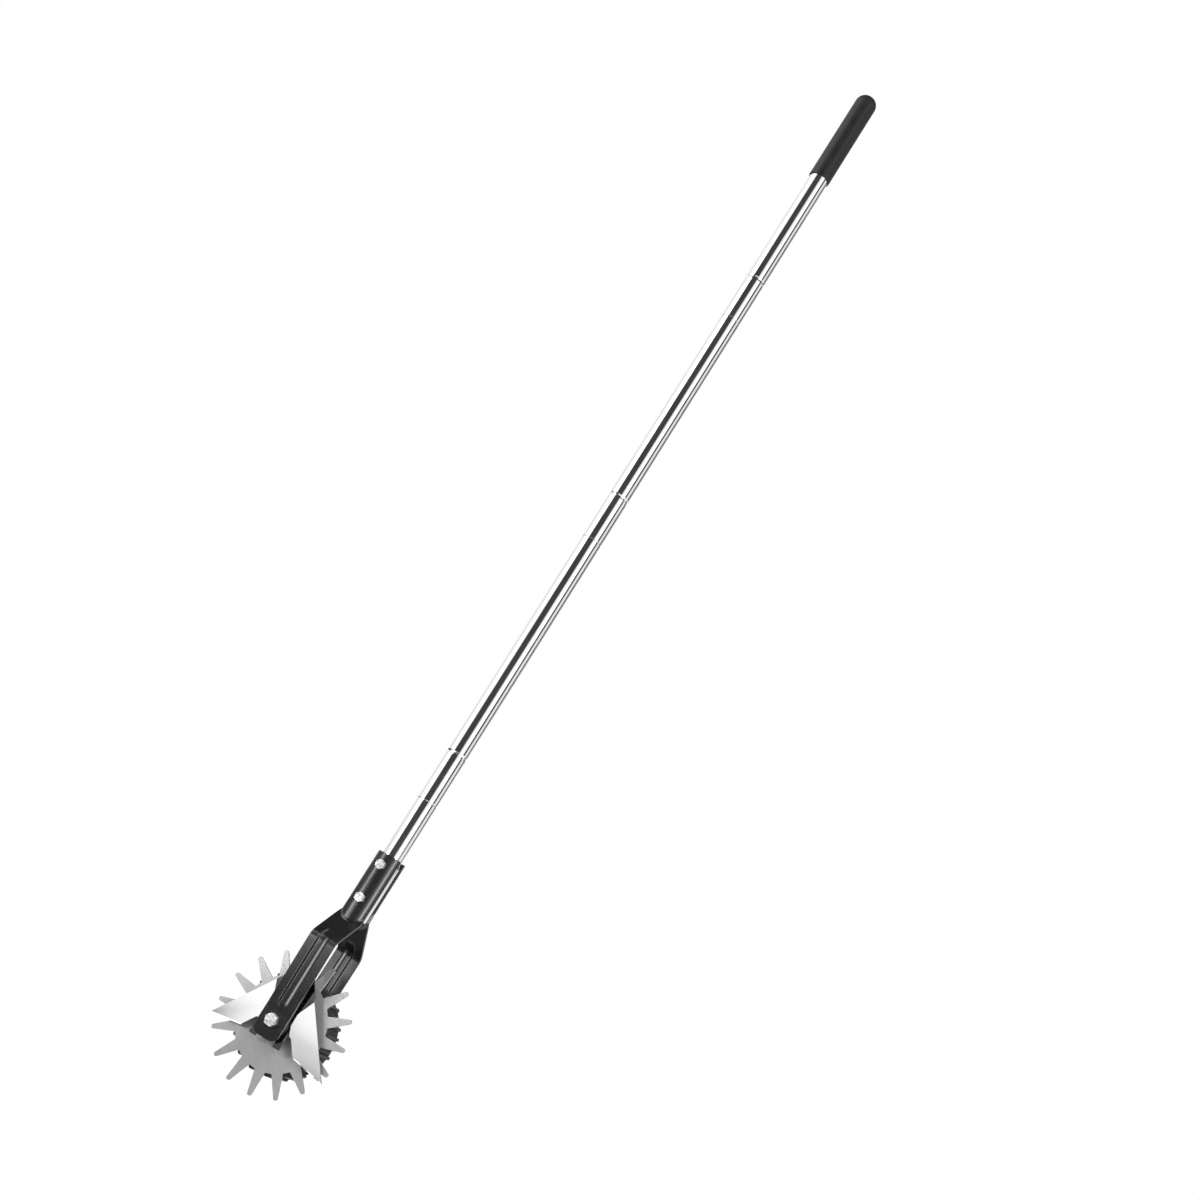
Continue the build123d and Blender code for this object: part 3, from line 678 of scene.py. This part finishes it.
clamp_nuts = [lock_nut("clamp_nuts", z, CLAMP_ACROSS, CLAMP_RADIUS, CLAMP_TURN) for z in clamp_levels]
add_piece("clamp_lock_nuts", joined(*clamp_nuts), zinc_steel, HANDLE, "clamp_nuts", crease=FACET)
inserts = [nut_insert("clamp_nuts", z, CLAMP_ACROSS, CLAMP_RADIUS) for z in clamp_levels]
inserts.append(nut_insert("axle_nut", AXLE_Z, AXLE_ACROSS, AXLE_RADIUS))
add_piece("nut_inserts", joined(*inserts), joint_nylon, HANDLE)


# Rings and bushes on the axle
HOLE_GAP = 0.2 * MM
AXLE_HOLE = AXLE_RADIUS + HOLE_GAP
RING_EDGE = 0.3 * MM
BACKING_EDGE = 0.4 * MM
SPACER_EDGE = 0.5 * MM


def axle_ring(name, node_name, edge, finish):
    """Ring about the axle with broken edges."""
    near, far = reach(node_name, "y")
    outer = reach(node_name, "x")[1]
    corners = [(AXLE_HOLE, near, edge), (outer, near, edge), (outer, far, edge), (AXLE_HOLE, far, edge)]
    add_piece(name, turned(AXLE, corners), finish, HANDLE, node_name)


axle_ring("axle_flat_washer", "axle_washer", RING_EDGE, zinc_steel)
axle_ring("axle_tube", "axle_sleeve", RING_EDGE, zinc_steel)
axle_ring("blade_distance_ring", "blade_spacer", SPACER_EDGE, joint_nylon)
axle_ring("blade_backing_washer", "blade_washer", BACKING_EDGE, zinc_steel)

BUSH_BORE = reach("axle_sleeve", "x")[1] + FIT_GAP
BUSH_WALL = 2.0 * MM
BUSH_RADIUS = BUSH_BORE + BUSH_WALL
BUSH_FLANGE = 2.0 * MM
BUSH_EASE = 0.3 * MM
BUSH_ROUND = 0.4 * MM
for side, (flange, end) in (("near", reach("near_bush", "y")), ("far", reach("far_bush", "y")[::-1])):
    shoulder = flange + (BUSH_FLANGE if end > flange else -BUSH_FLANGE)
    brim = reach(f"{side}_bush", "x")[1]
    corners = [(BUSH_BORE, flange, BUSH_EASE), (brim, flange, BUSH_ROUND), (brim, shoulder, BUSH_EASE),
               (BUSH_RADIUS, shoulder), (BUSH_RADIUS, end, BUSH_ROUND), (BUSH_BORE, end, BUSH_EASE)]
    add_piece(f"{side}_flanged_bush", turned(AXLE, corners), bush_nylon, WHEEL, f"{side}_bush")


# Star wheel
STAR_TIP = 76.0 * MM
STAR_ROOT = 50.2 * MM
STAR_BORE = 12.3 * MM
STAR_TEETH = 16
STAR_PHASE = radians(8.6)
TOOTH_ROOT = 12.0 * MM
TOOTH_TIP = 4.2 * MM
TIP_ROUND = 1.95 * MM
ROOT_ROUND = 0.8 * MM
STAR_BREAK = 0.18 * MM


def star_disc():
    """One tooth's share of the disc, repeated round the axle, thickened and broken at its edges."""
    near, far = reach("star_wheel", "y")
    bm = bmesh.new()
    foot = sqrt(STAR_ROOT**2 - TOOTH_ROOT**2 / 4)
    half = pi / STAR_TEETH
    side = [(STAR_ROOT * cos(half), STAR_ROOT * sin(half), 0), (foot, TOOTH_ROOT / 2, ROOT_ROUND),
            (STAR_TIP, TOOTH_TIP / 2, TIP_ROUND)]
    corners = [(along, -across, ease) for along, across, ease in side] + side[::-1]
    corners += [(STAR_BORE * cos(half), STAR_BORE * sin(half), 0), (STAR_BORE, 0, 0),
                (STAR_BORE * cos(half), -STAR_BORE * sin(half), 0)]
    verts = [bm.verts.new((along, near, AXLE_Z + across)) for along, across, _ in corners]
    bm.faces.new(verts)
    for vert, (_, _, ease) in zip(verts, corners):
        if ease:
            soften_corner(bm, vert, ease)
    bmesh.ops.rotate(bm, cent=AXLE[0], matrix=Matrix.Rotation(-STAR_PHASE, 3, "Y"), verts=bm.verts)
    repeat_round(bm, AXLE, STAR_TEETH)
    raised = bmesh.ops.extrude_face_region(bm, geom=bm.faces[:])["geom"]
    bmesh.ops.translate(bm, verts=moved(raised), vec=(0, far - near, 0))
    bmesh.ops.recalc_face_normals(bm, faces=bm.faces)
    soften_edges(bm, sharp_edges(bm, 80), STAR_BREAK)
    return bm


add_piece("star_disc", star_disc(), star_steel, WHEEL, "star_wheel", crease=22)

RIVET_CIRCLE = 16.7 * MM
RIVET_COUNT = 4
RIVET_HEAD = 3.5 * MM
RIVET_SHANK = 2.0 * MM
RIVET_ROUND = 1.25 * MM
RIVET_STEPS = 32


def round_rivets():
    """Round-headed rivets through the star wheel and the hub's web."""
    near, far = reach("star_rivets", "y")
    star_face = reach("star_wheel", "y")[0]
    web_face = far - (star_face - near)
    line = (Vector((RIVET_CIRCLE, 0, AXLE_Z)), AXLE[1])
    corners = [(0, near), (RIVET_HEAD, near, RIVET_ROUND), (RIVET_HEAD, star_face), (RIVET_SHANK, star_face),
               (RIVET_SHANK, web_face), (RIVET_HEAD, web_face), (RIVET_HEAD, far, RIVET_ROUND), (0, far)]
    return repeat_round(turned(line, corners, RIVET_STEPS), AXLE, RIVET_COUNT)


add_piece("round_rivets", round_rivets(), zinc_steel, WHEEL, "star_rivets")


# Tyre and hub
LUGS = 32
LUG_WIDTH = 3.1 * MM
TYRE_TOP = 53.5 * MM
TREAD_RADIUS = 52.0 * MM
TREAD_GROOVE = 1.5 * MM
TREAD_RIBS = 6
RIB_POINTS = 8
TYRE_BEAD = 40.0 * MM
SHOULDER_ROUND = 3.0 * MM
SHOULDER_TURN = 15
WALL_LAND = 3.0 * MM
WALL_GROOVE = 0.4 * MM
GROOVE_FLOOR = 1.0 * MM
LUG_START = 48.4 * MM
LUG_ROUND = 0.45 * MM
SWEEP_STEPS = 3


def tyre_section():
    """Corners of the tyre's section: beads, grooved sidewalls, round shoulders and a ribbed tread."""
    near, far = reach("tyre", "y")
    left, right = near + SHOULDER_ROUND, far - SHOULDER_ROUND
    shoulder = TREAD_RADIUS - TREAD_GROOVE - SHOULDER_ROUND
    land = TYRE_BEAD + WALL_LAND
    floor_from = land + WALL_GROOVE
    floor_to = floor_from + GROOVE_FLOOR
    wall = [(TYRE_BEAD, 0), (land, 0), (floor_from, WALL_GROOVE), (floor_to, WALL_GROOVE),
            (floor_to + WALL_GROOVE, 0)]
    turn = [radians(angle) for angle in range(0, 90, SHOULDER_TURN)]
    corners = [(radius, near + depth) for radius, depth in wall]
    corners += [(shoulder + SHOULDER_ROUND * sin(a), left - SHOULDER_ROUND * cos(a)) for a in turn]
    count = TREAD_RIBS * RIB_POINTS
    for k in range(count + 1):
        crest = 0.5 - 0.5 * cos(2 * pi * k / RIB_POINTS)
        corners.append((TREAD_RADIUS - TREAD_GROOVE * (1 - crest), left + (right - left) * k / count))
    corners += [(shoulder + SHOULDER_ROUND * sin(a), right + SHOULDER_ROUND * cos(a)) for a in turn[::-1]]
    corners += [(radius, far - depth) for radius, depth in wall[::-1]]
    return corners


def from_axle(point):
    """Distance of a point from the axle's line."""
    return hypot(point.x, point.z - AXLE_Z)


def lugged_tyre():
    """One lug's share of the tyre, with the lug raised out of its tread, repeated round the axle."""
    bm = bmesh.new()
    centre, direction = AXLE
    verts = [bm.verts.new((radius, place, AXLE_Z)) for radius, place in tyre_section()]
    edges = [bm.edges.new(pair) for pair in zip(verts, verts[1:] + verts[:1])]
    geometry = verts + edges
    lug = LUG_WIDTH / TREAD_RADIUS
    gap = (2 * pi / LUGS - lug) / 2
    lug_faces = []
    for angle, raised in ((gap, False), (lug, True), (gap, False)):
        before = set(bm.faces)
        swept = bmesh.ops.spin(bm, geom=geometry, cent=centre, axis=direction, angle=angle, steps=SWEEP_STEPS)
        geometry = swept["geom_last"]
        if raised:
            fresh = [face for face in bm.faces if face not in before]
            lug_faces = [face for face in fresh if from_axle(face.calc_center_median()) > LUG_START]
    lifted = moved(bmesh.ops.extrude_face_region(bm, geom=lug_faces)["geom"])
    for vert in lifted:
        away = Vector((vert.co.x, 0, vert.co.z - AXLE_Z))
        top = min(TYRE_TOP, away.length + TYRE_TOP - TREAD_RADIUS + TREAD_GROOVE)
        vert.co += away.normalized() * (top - away.length)
    bmesh.ops.recalc_face_normals(bm, faces=bm.faces)
    tops = set(lifted)
    crests = [e for e in sharp_edges(bm, 45) if all(v in tops for v in e.verts)]
    soften_edges(bm, crests, LUG_ROUND, 3)
    return repeat_round(bm, AXLE, LUGS)


add_piece("lugged_tyre", lugged_tyre(), tyre_rubber, WHEEL, "tyre", crease=55)

HUB_BORE = BUSH_RADIUS + FIT_GAP
HUB_BOSS_WALL = 4.0 * MM
HUB_BOSS = HUB_BORE + HUB_BOSS_WALL
HUB_RIM = 3.0 * MM
HUB_WEB = 4.0 * MM
HUB_RIB_WIDTH = 3.0 * MM
HUB_RIB_DEPTH = 18.0 * MM
HUB_RIB_SINK = 1.0 * MM
HUB_RIB_ROUND = 0.8 * MM
HUB_FILLET = 2.5 * MM
HUB_BORE_EASE = 0.4 * MM
HUB_BOSS_EASE = 0.5 * MM
HUB_END_EASE = 0.6 * MM
HUB_SEAT_EASE = 0.3 * MM
HUB_RIM_EASE = 0.5 * MM
HUB_RIM_ROUND = 0.8 * MM


def hub_moulding():
    """Moulded hub: boss, web and rim with filleted corners, and four ribs that lie between the rivets."""
    near, far = reach("wheel_hub", "y")
    web, rim_far = reach("tyre", "y")
    back = web + HUB_WEB
    rim = TYRE_BEAD - HUB_RIM
    corners = [(HUB_BORE, near, HUB_BORE_EASE), (HUB_BOSS, near, HUB_BOSS_EASE), (HUB_BOSS, web),
               (TYRE_BEAD, web, HUB_SEAT_EASE), (TYRE_BEAD, rim_far, HUB_RIM_EASE),
               (rim, rim_far, HUB_RIM_ROUND), (rim, back, HUB_FILLET), (HUB_BOSS, back, HUB_FILLET),
               (HUB_BOSS, far, HUB_END_EASE), (HUB_BORE, far, HUB_BORE_EASE)]
    shell = turned(AXLE, corners)
    rib = bmesh.new()
    bmesh.ops.create_cube(rib, size=1.0)
    length = rim - HUB_BOSS + HUB_RIB_SINK
    bmesh.ops.scale(rib, vec=(length, HUB_RIB_DEPTH + HUB_RIB_SINK, HUB_RIB_WIDTH), verts=rib.verts)
    rib_y = back + (HUB_RIB_DEPTH - HUB_RIB_SINK) / 2
    bmesh.ops.translate(rib, vec=((HUB_BOSS + rim) / 2, rib_y, AXLE_Z), verts=rib.verts)
    crest = [e for e in rib.edges if all(v.co.y > rib_y for v in e.verts)]
    along = [e for e in crest if abs(e.verts[0].co.x - e.verts[1].co.x) > length / 2]
    soften_edges(rib, along, HUB_RIB_ROUND, 3)
    bmesh.ops.rotate(rib, cent=AXLE[0], matrix=Matrix.Rotation(pi / 4, 3, "Y"), verts=rib.verts)
    return joined(shell, repeat_round(rib, AXLE, RIVET_COUNT))


add_piece("hub_moulding", hub_moulding(), hub_plastic, WHEEL, "wheel_hub")


# Scraper blade: right half of its flat pattern, (x, height above the axle) in millimetres
BLADE_SHEET = 2.0 * MM
BLADE_SLOT = 11.0
WAIST = (12.7, 10.8)
KINK = (24.4, 36.7)
STRAP_HALF = [(0.0, 62.0), (7.5, 62.0), KINK, WAIST, (19.7, -6.2), (19.7, -22.3), (BLADE_SLOT, -22.3)]
WING_HEEL = (35.2, -21.7)
WING_TIP = (75.25, -28.6)
WING_SIDE = [(13.5, 10.8), (20.5, -5.4), (23.3, -6.2), WING_HEEL, WING_TIP]
WING_FOLD = radians(9.65)
CUTTING_BEVEL = 1.2 * MM
FOLD_ROUND = 0.7 * MM
BLADE_BREAK = 0.12 * MM
SLOT_STEPS = 12


def folded_blade():
    """Blade from its flat pattern: half a strap and one wing folded back, mirrored and thickened."""
    near = reach("blade_spacer", "y")[1]

    def flat_point(spot):
        return Vector((spot[0] * MM, near, spot[1] * MM + AXLE_Z))

    bm = bmesh.new()
    turns = [pi / 2 * k / SLOT_STEPS for k in range(SLOT_STEPS + 1)]
    arc = [(BLADE_SLOT * cos(turn), BLADE_SLOT * sin(turn)) for turn in turns]
    strap = {spot: bm.verts.new(flat_point(spot)) for spot in STRAP_HALF + arc}
    bm.faces.new(strap.values())
    wing = [bm.verts.new(flat_point(spot)) for spot in WING_SIDE]
    bm.faces.new([strap[WAIST]] + wing + [strap[KINK]])
    hinge = flat_point(KINK) - flat_point(WAIST)
    fold = Matrix.Rotation(WING_FOLD, 3, hinge)
    if (fold @ (flat_point(WING_TIP) - flat_point(WAIST))).y < 0:
        fold.transpose()
    bmesh.ops.rotate(bm, cent=flat_point(WAIST), matrix=fold, verts=wing)
    cutting = [(vert.co.copy(), Vector((-vert.co.x, vert.co.y, vert.co.z))) for vert in wing[-2:]]
    bmesh.ops.mirror(bm, geom=bm.verts[:] + bm.edges[:] + bm.faces[:], axis="X", merge_dist=MERGE)
    bmesh.ops.remove_doubles(bm, verts=bm.verts, dist=MERGE)
    bmesh.ops.recalc_face_normals(bm, faces=bm.faces)
    if sum(face.normal.y * face.calc_area() for face in bm.faces) > 0:
        bmesh.ops.reverse_faces(bm, faces=bm.faces)
    bm.normal_update()
    soften_edges(bm, sharp_edges(bm, 4), FOLD_ROUND, 3)
    bm.normal_update()
    bmesh.ops.solidify(bm, geom=bm.faces[:], thickness=BLADE_SHEET)
    bmesh.ops.recalc_face_normals(bm, faces=bm.faces)
    heel, tip = cutting
    honed = []
    for side in (0, 1):
        ends = [min(bm.verts, key=lambda v: (v.co - spot[side]).length) for spot in (heel, tip)]
        honed.append(bm.edges.get(ends))
    rims = [e for e in sharp_edges(bm, 50) if e not in honed]
    soften_edges(bm, honed, CUTTING_BEVEL, 1)
    soften_edges(bm, [e for e in rims if e.is_valid], BLADE_BREAK)
    return bm


add_piece("folded_blade", folded_blade(), blade_polish, HANDLE, "scraper_blade", crease=18)


# Pole and grip
POLE_RADIUS = reach("lower_pole", "x")[1]
POLE_WALL = 1.2 * MM
POLE_BORE = POLE_RADIUS - POLE_WALL
CRIMP_HEIGHT = 60.0 * MM
CRIMP_DEPTH = 0.7 * MM
CRIMP_HALF = 2.2 * MM
CRIMP_ROUND = 2.5 * MM
TUBE_EASE = 0.6 * MM
TUBE_STEPS = 128
NECK_DROP = 2.0 * MM
NECK_LENGTH = 6.0 * MM
NECK_ROUND = 3.0 * MM


def pole_tube(node_name):
    """Pole tube with eased ends and, above its foot, a rolled ring that grips the stud inside."""
    foot, top = reach(node_name, "z")
    ring = foot + CRIMP_HEIGHT
    crimp = [(POLE_RADIUS, ring - CRIMP_HALF, CRIMP_ROUND), (POLE_RADIUS - CRIMP_DEPTH, ring, CRIMP_ROUND),
             (POLE_RADIUS, ring + CRIMP_HALF, CRIMP_ROUND)]
    ends = [(POLE_RADIUS, top, TUBE_EASE), (POLE_BORE, top)]
    return turned(POLE, [(POLE_BORE, foot), (POLE_RADIUS, foot, TUBE_EASE)] + crimp + ends, TUBE_STEPS)


def stub_tube():
    """Stub whose expanded foot fills the clamp and necks down just below the shells' tops."""
    foot, top = reach("pole_stub", "z")
    neck_top = AXLE_Z + SHELL_TOP - NECK_DROP
    neck_foot = neck_top - NECK_LENGTH
    foot_bore = STUB_FOOT - POLE_WALL
    corners = [(foot_bore, foot), (STUB_FOOT, foot, TUBE_EASE), (STUB_FOOT, neck_foot, NECK_ROUND),
               (POLE_RADIUS, neck_top, NECK_ROUND), (POLE_RADIUS, top, TUBE_EASE), (POLE_BORE, top),
               (POLE_BORE, neck_top), (foot_bore, neck_foot)]
    return turned(POLE, corners, TUBE_STEPS)


add_piece("pole_stub_tube", stub_tube(), pole_polish, HANDLE, "pole_stub")
for name in ("lower_pole", "middle_pole", "upper_pole"):
    add_piece(f"{name}_tube", pole_tube(name), pole_polish, HANDLE, name)

GRIP_RADIUS = reach("grip", "x")[1]
GRIP_DOME = 12.0 * MM
GRIP_LIP = 0.7 * MM
MOUTH_EASE = 0.4 * MM


def grip_sleeve():
    """Moulded sleeve with a domed end and an eased mouth."""
    foot, top = reach("grip", "z")
    pole_top = reach("upper_pole", "z")[1]
    bore = POLE_RADIUS + FIT_GAP
    corners = [(0, top), (GRIP_RADIUS, top, GRIP_DOME), (GRIP_RADIUS, foot, GRIP_LIP),
               (bore, foot, MOUTH_EASE), (bore, pole_top), (0, pole_top)]
    return turned(POLE, corners)


add_piece("grip_sleeve", grip_sleeve(), grip_rubber, HANDLE, "grip", crease=50)

for joint in ("lower", "middle", "upper"):
    for kind in ("socket", "stud"):
        inside_pole = nodes[f"{joint}_{kind}"].data
        inside_pole.materials.clear()
        inside_pole.materials.append(joint_nylon)


# Stage, light and camera
FLOOR_HALF = 3.0
FLOOR_SHADE = 0.12
FADE_FROM = 0.1
FADE_TO = 0.9
FLAG_GREY = 0.06
SCREEN_GREY = 0.27
SIDE_LIGHT = 1.8
STRIP_LIGHT = 13.0
SOFT_WHITE = 0.9
LENS = 49.5
SENSOR = 36.0
CAMERA_PLACE = (0.69038, -1.6597, 0.173)
CAMERA_RIGHT = Vector((0.84048, 0.18313, 0.50995))
CAMERA_UP = Vector((-0.41369, -0.39091, 0.82222))


def pale_floor():
    """Pale floor that fades into the white round the object."""
    finish, tree, shader, place = new_finish("floor_pale", grey(0.93), Roughness=0.9)
    tone = effect(tree, CLOUDING, Place=place, Size=3.0, Dark=grey(0.92), Light=grey(0.95), Gloss=0.85,
                  Matte=0.95)
    put(tree, shader.inputs["Base Color"], tone.outputs["Colour"])
    away = node(tree, "ShaderNodeVectorMath", {"operation": "LENGTH"})
    put(tree, away.inputs[0], place)
    fade = ramp(tree, away.outputs["Value"], FADE_FROM, FADE_TO, FLOOR_SHADE, 0.0, smooth=True)
    put(tree, shader.inputs["Alpha"], fade)
    bm = bmesh.new()
    bmesh.ops.create_grid(bm, x_segments=1, y_segments=1, size=FLOOR_HALF)
    mesh = bpy.data.meshes.new("floor")
    bm.to_mesh(mesh)
    bm.free()
    mesh.materials.append(finish)
    floor = bpy.data.objects.new("floor", mesh)
    bpy.context.scene.collection.objects.link(floor)
    floor.visible_glossy = False


def studio_world():
    """White all round for the camera and for soft light; polished steel also meets dark flags in it."""
    world = bpy.data.worlds.new("studio")
    bpy.context.scene.world = world
    world.use_nodes = True
    tree = world.node_tree
    tree.nodes.clear()
    toward = tree.nodes.new("ShaderNodeTexCoord").outputs["Generated"]
    x, y, z = node(tree, "ShaderNodeSeparateXYZ", Vector=toward).outputs
    bearing = maths(tree, "DEGREES", maths(tree, "ARCTAN2", x, maths(tree, "MULTIPLY", y, -1.0)))
    height = maths(tree, "DEGREES", maths(tree, "ARCSINE", z))

    def window(value, low, high, soft):
        rise = ramp(tree, value, low - soft, low + soft, smooth=True)
        fall = ramp(tree, value, high - soft, high + soft, 1.0, 0.0, smooth=True)
        return maths(tree, "MULTIPLY", rise, fall)

    def panel(left, right, side_soft, low, high, end_soft):
        """Mask of a panel between two bearings and two heights, in degrees."""
        across = window(bearing, left, right, side_soft)
        return maths(tree, "MULTIPLY", across, window(height, low, high, end_soft))

    def any_of(masks):
        whole = masks[0]
        for mask in masks[1:]:
            whole = maths(tree, "MAXIMUM", whole, mask)
        return whole

    flags = any_of([
        panel(-27.0, 34.0, 3.0, -3.0, 60.0, 3.0),
        panel(-39.0, -8.0, 1.5, -60.0, 0.0, 4.0),
        panel(79.0, 99.0, 4.0, 3.2, 60.0, 0.6),
        panel(131.0, 153.0, 4.0, 3.2, 60.0, 0.6),
        panel(160.0, 186.0, 4.0, 9.0, 32.0, 4.0),
        panel(-150.0, -70.0, 5.0, -14.0, 2.6, 0.6),
        panel(-60.0, 40.0, 3.0, -38.0, -15.0, 1.5),
        panel(120.0, 160.0, 6.0, -60.0, -6.0, 2.0),
        panel(-150.0, -120.0, 6.0, -60.0, -6.0, 2.0),
        ramp(tree, height, 36.0, 50.0, smooth=True),
        ramp(tree, height, -58.0, -50.0, 1.0, 0.0, smooth=True),
    ])
    sides = any_of([
        panel(-75.0, -36.0, 4.0, 5.0, 36.0, 2.0),
        panel(52.0, 74.0, 4.0, 5.0, 36.0, 2.0),
        panel(-124.0, -102.0, 3.0, -70.0, -60.0, 2.0),
    ])
    strips = any_of([
        panel(-53.0, -39.0, 3.0, -5.5, 6.0, 1.5),
        panel(54.0, 68.0, 4.0, -12.0, 6.0, 2.0),
    ])
    screens = any_of([
        panel(-70.0, -42.55, 0.55, -24.0, -6.0, 2.0),
        panel(-12.0, 6.0, 2.0, -11.15, -10.75, 0.28),
        panel(-12.0, 6.0, 2.0, -30.0, -11.55, 0.25),
    ])
    white = ramp(tree, height, -8.0, -5.0, 1.3, 1.0)
    mirrored = blend(tree, flags, white, grey(FLAG_GREY))
    mirrored = blend(tree, screens, mirrored, grey(SCREEN_GREY))
    mirrored = blend(tree, sides, mirrored, grey(SIDE_LIGHT))
    mirrored = blend(tree, strips, mirrored, grey(STRIP_LIGHT))
    path = tree.nodes.new("ShaderNodeLightPath")
    seen = blend(tree, path.outputs["Is Diffuse Ray"], mirrored, grey(SOFT_WHITE))
    seen = blend(tree, path.outputs["Is Camera Ray"], seen, grey(1.0))
    back = node(tree, "ShaderNodeBackground", Color=seen, Strength=1.0)
    out = tree.nodes.new("ShaderNodeOutputWorld")
    tree.links.new(back.outputs[0], out.inputs["Surface"])


def soft_light(name, place, target, size, power, mirrored=True):
    """Rectangular soft light aimed at a point, which polished pieces may mirror or not."""
    light = bpy.data.lights.new(name, "AREA")
    light.shape = "RECTANGLE"
    light.size, light.size_y = size
    light.energy = power
    lamp = bpy.data.objects.new(name, light)
    bpy.context.scene.collection.objects.link(lamp)
    lamp.visible_glossy = mirrored
    lamp.location = place
    lamp.rotation_euler = (Vector(target) - Vector(place)).to_track_quat("-Z", "Y").to_euler()


def photo_camera():
    """Camera at the photograph's viewing angle, rolled so that the pole leans to the right."""
    lens = bpy.data.cameras.new("camera")
    lens.lens = LENS
    lens.sensor_width = SENSOR
    camera = bpy.data.objects.new("camera", lens)
    bpy.context.scene.collection.objects.link(camera)
    turn = Matrix((CAMERA_RIGHT, CAMERA_UP, CAMERA_RIGHT.cross(CAMERA_UP))).transposed()
    camera.matrix_world = Matrix.Translation(CAMERA_PLACE) @ turn.to_4x4()
    bpy.context.scene.camera = camera


pale_floor()
studio_world()
soft_light("key_left", (-1.3, -1.1, 1.5), (0, 0, 0.2), (0.9, 0.9), 12.0)
soft_light("fill_right", (1.6, -0.9, 0.9), (0, 0, 0.3), (0.5, 1.4), 6.0)
soft_light("wheel_glow", (-0.275, -0.53, 0.178), (-0.02, -0.015, 0.13), (0.22, 0.1), 0.42)
soft_light("wheel_fill", (0.27, -0.33, 0.36), (0.05, -0.015, 0.15), (0.25, 0.25), 5.0, mirrored=False)
soft_light("top_soft", (0.0, -0.2, 2.6), (0, 0, 0.3), (1.6, 1.6), 30.0, mirrored=False)
photo_camera()
bpy.context.scene.view_settings.view_transform = "Standard"
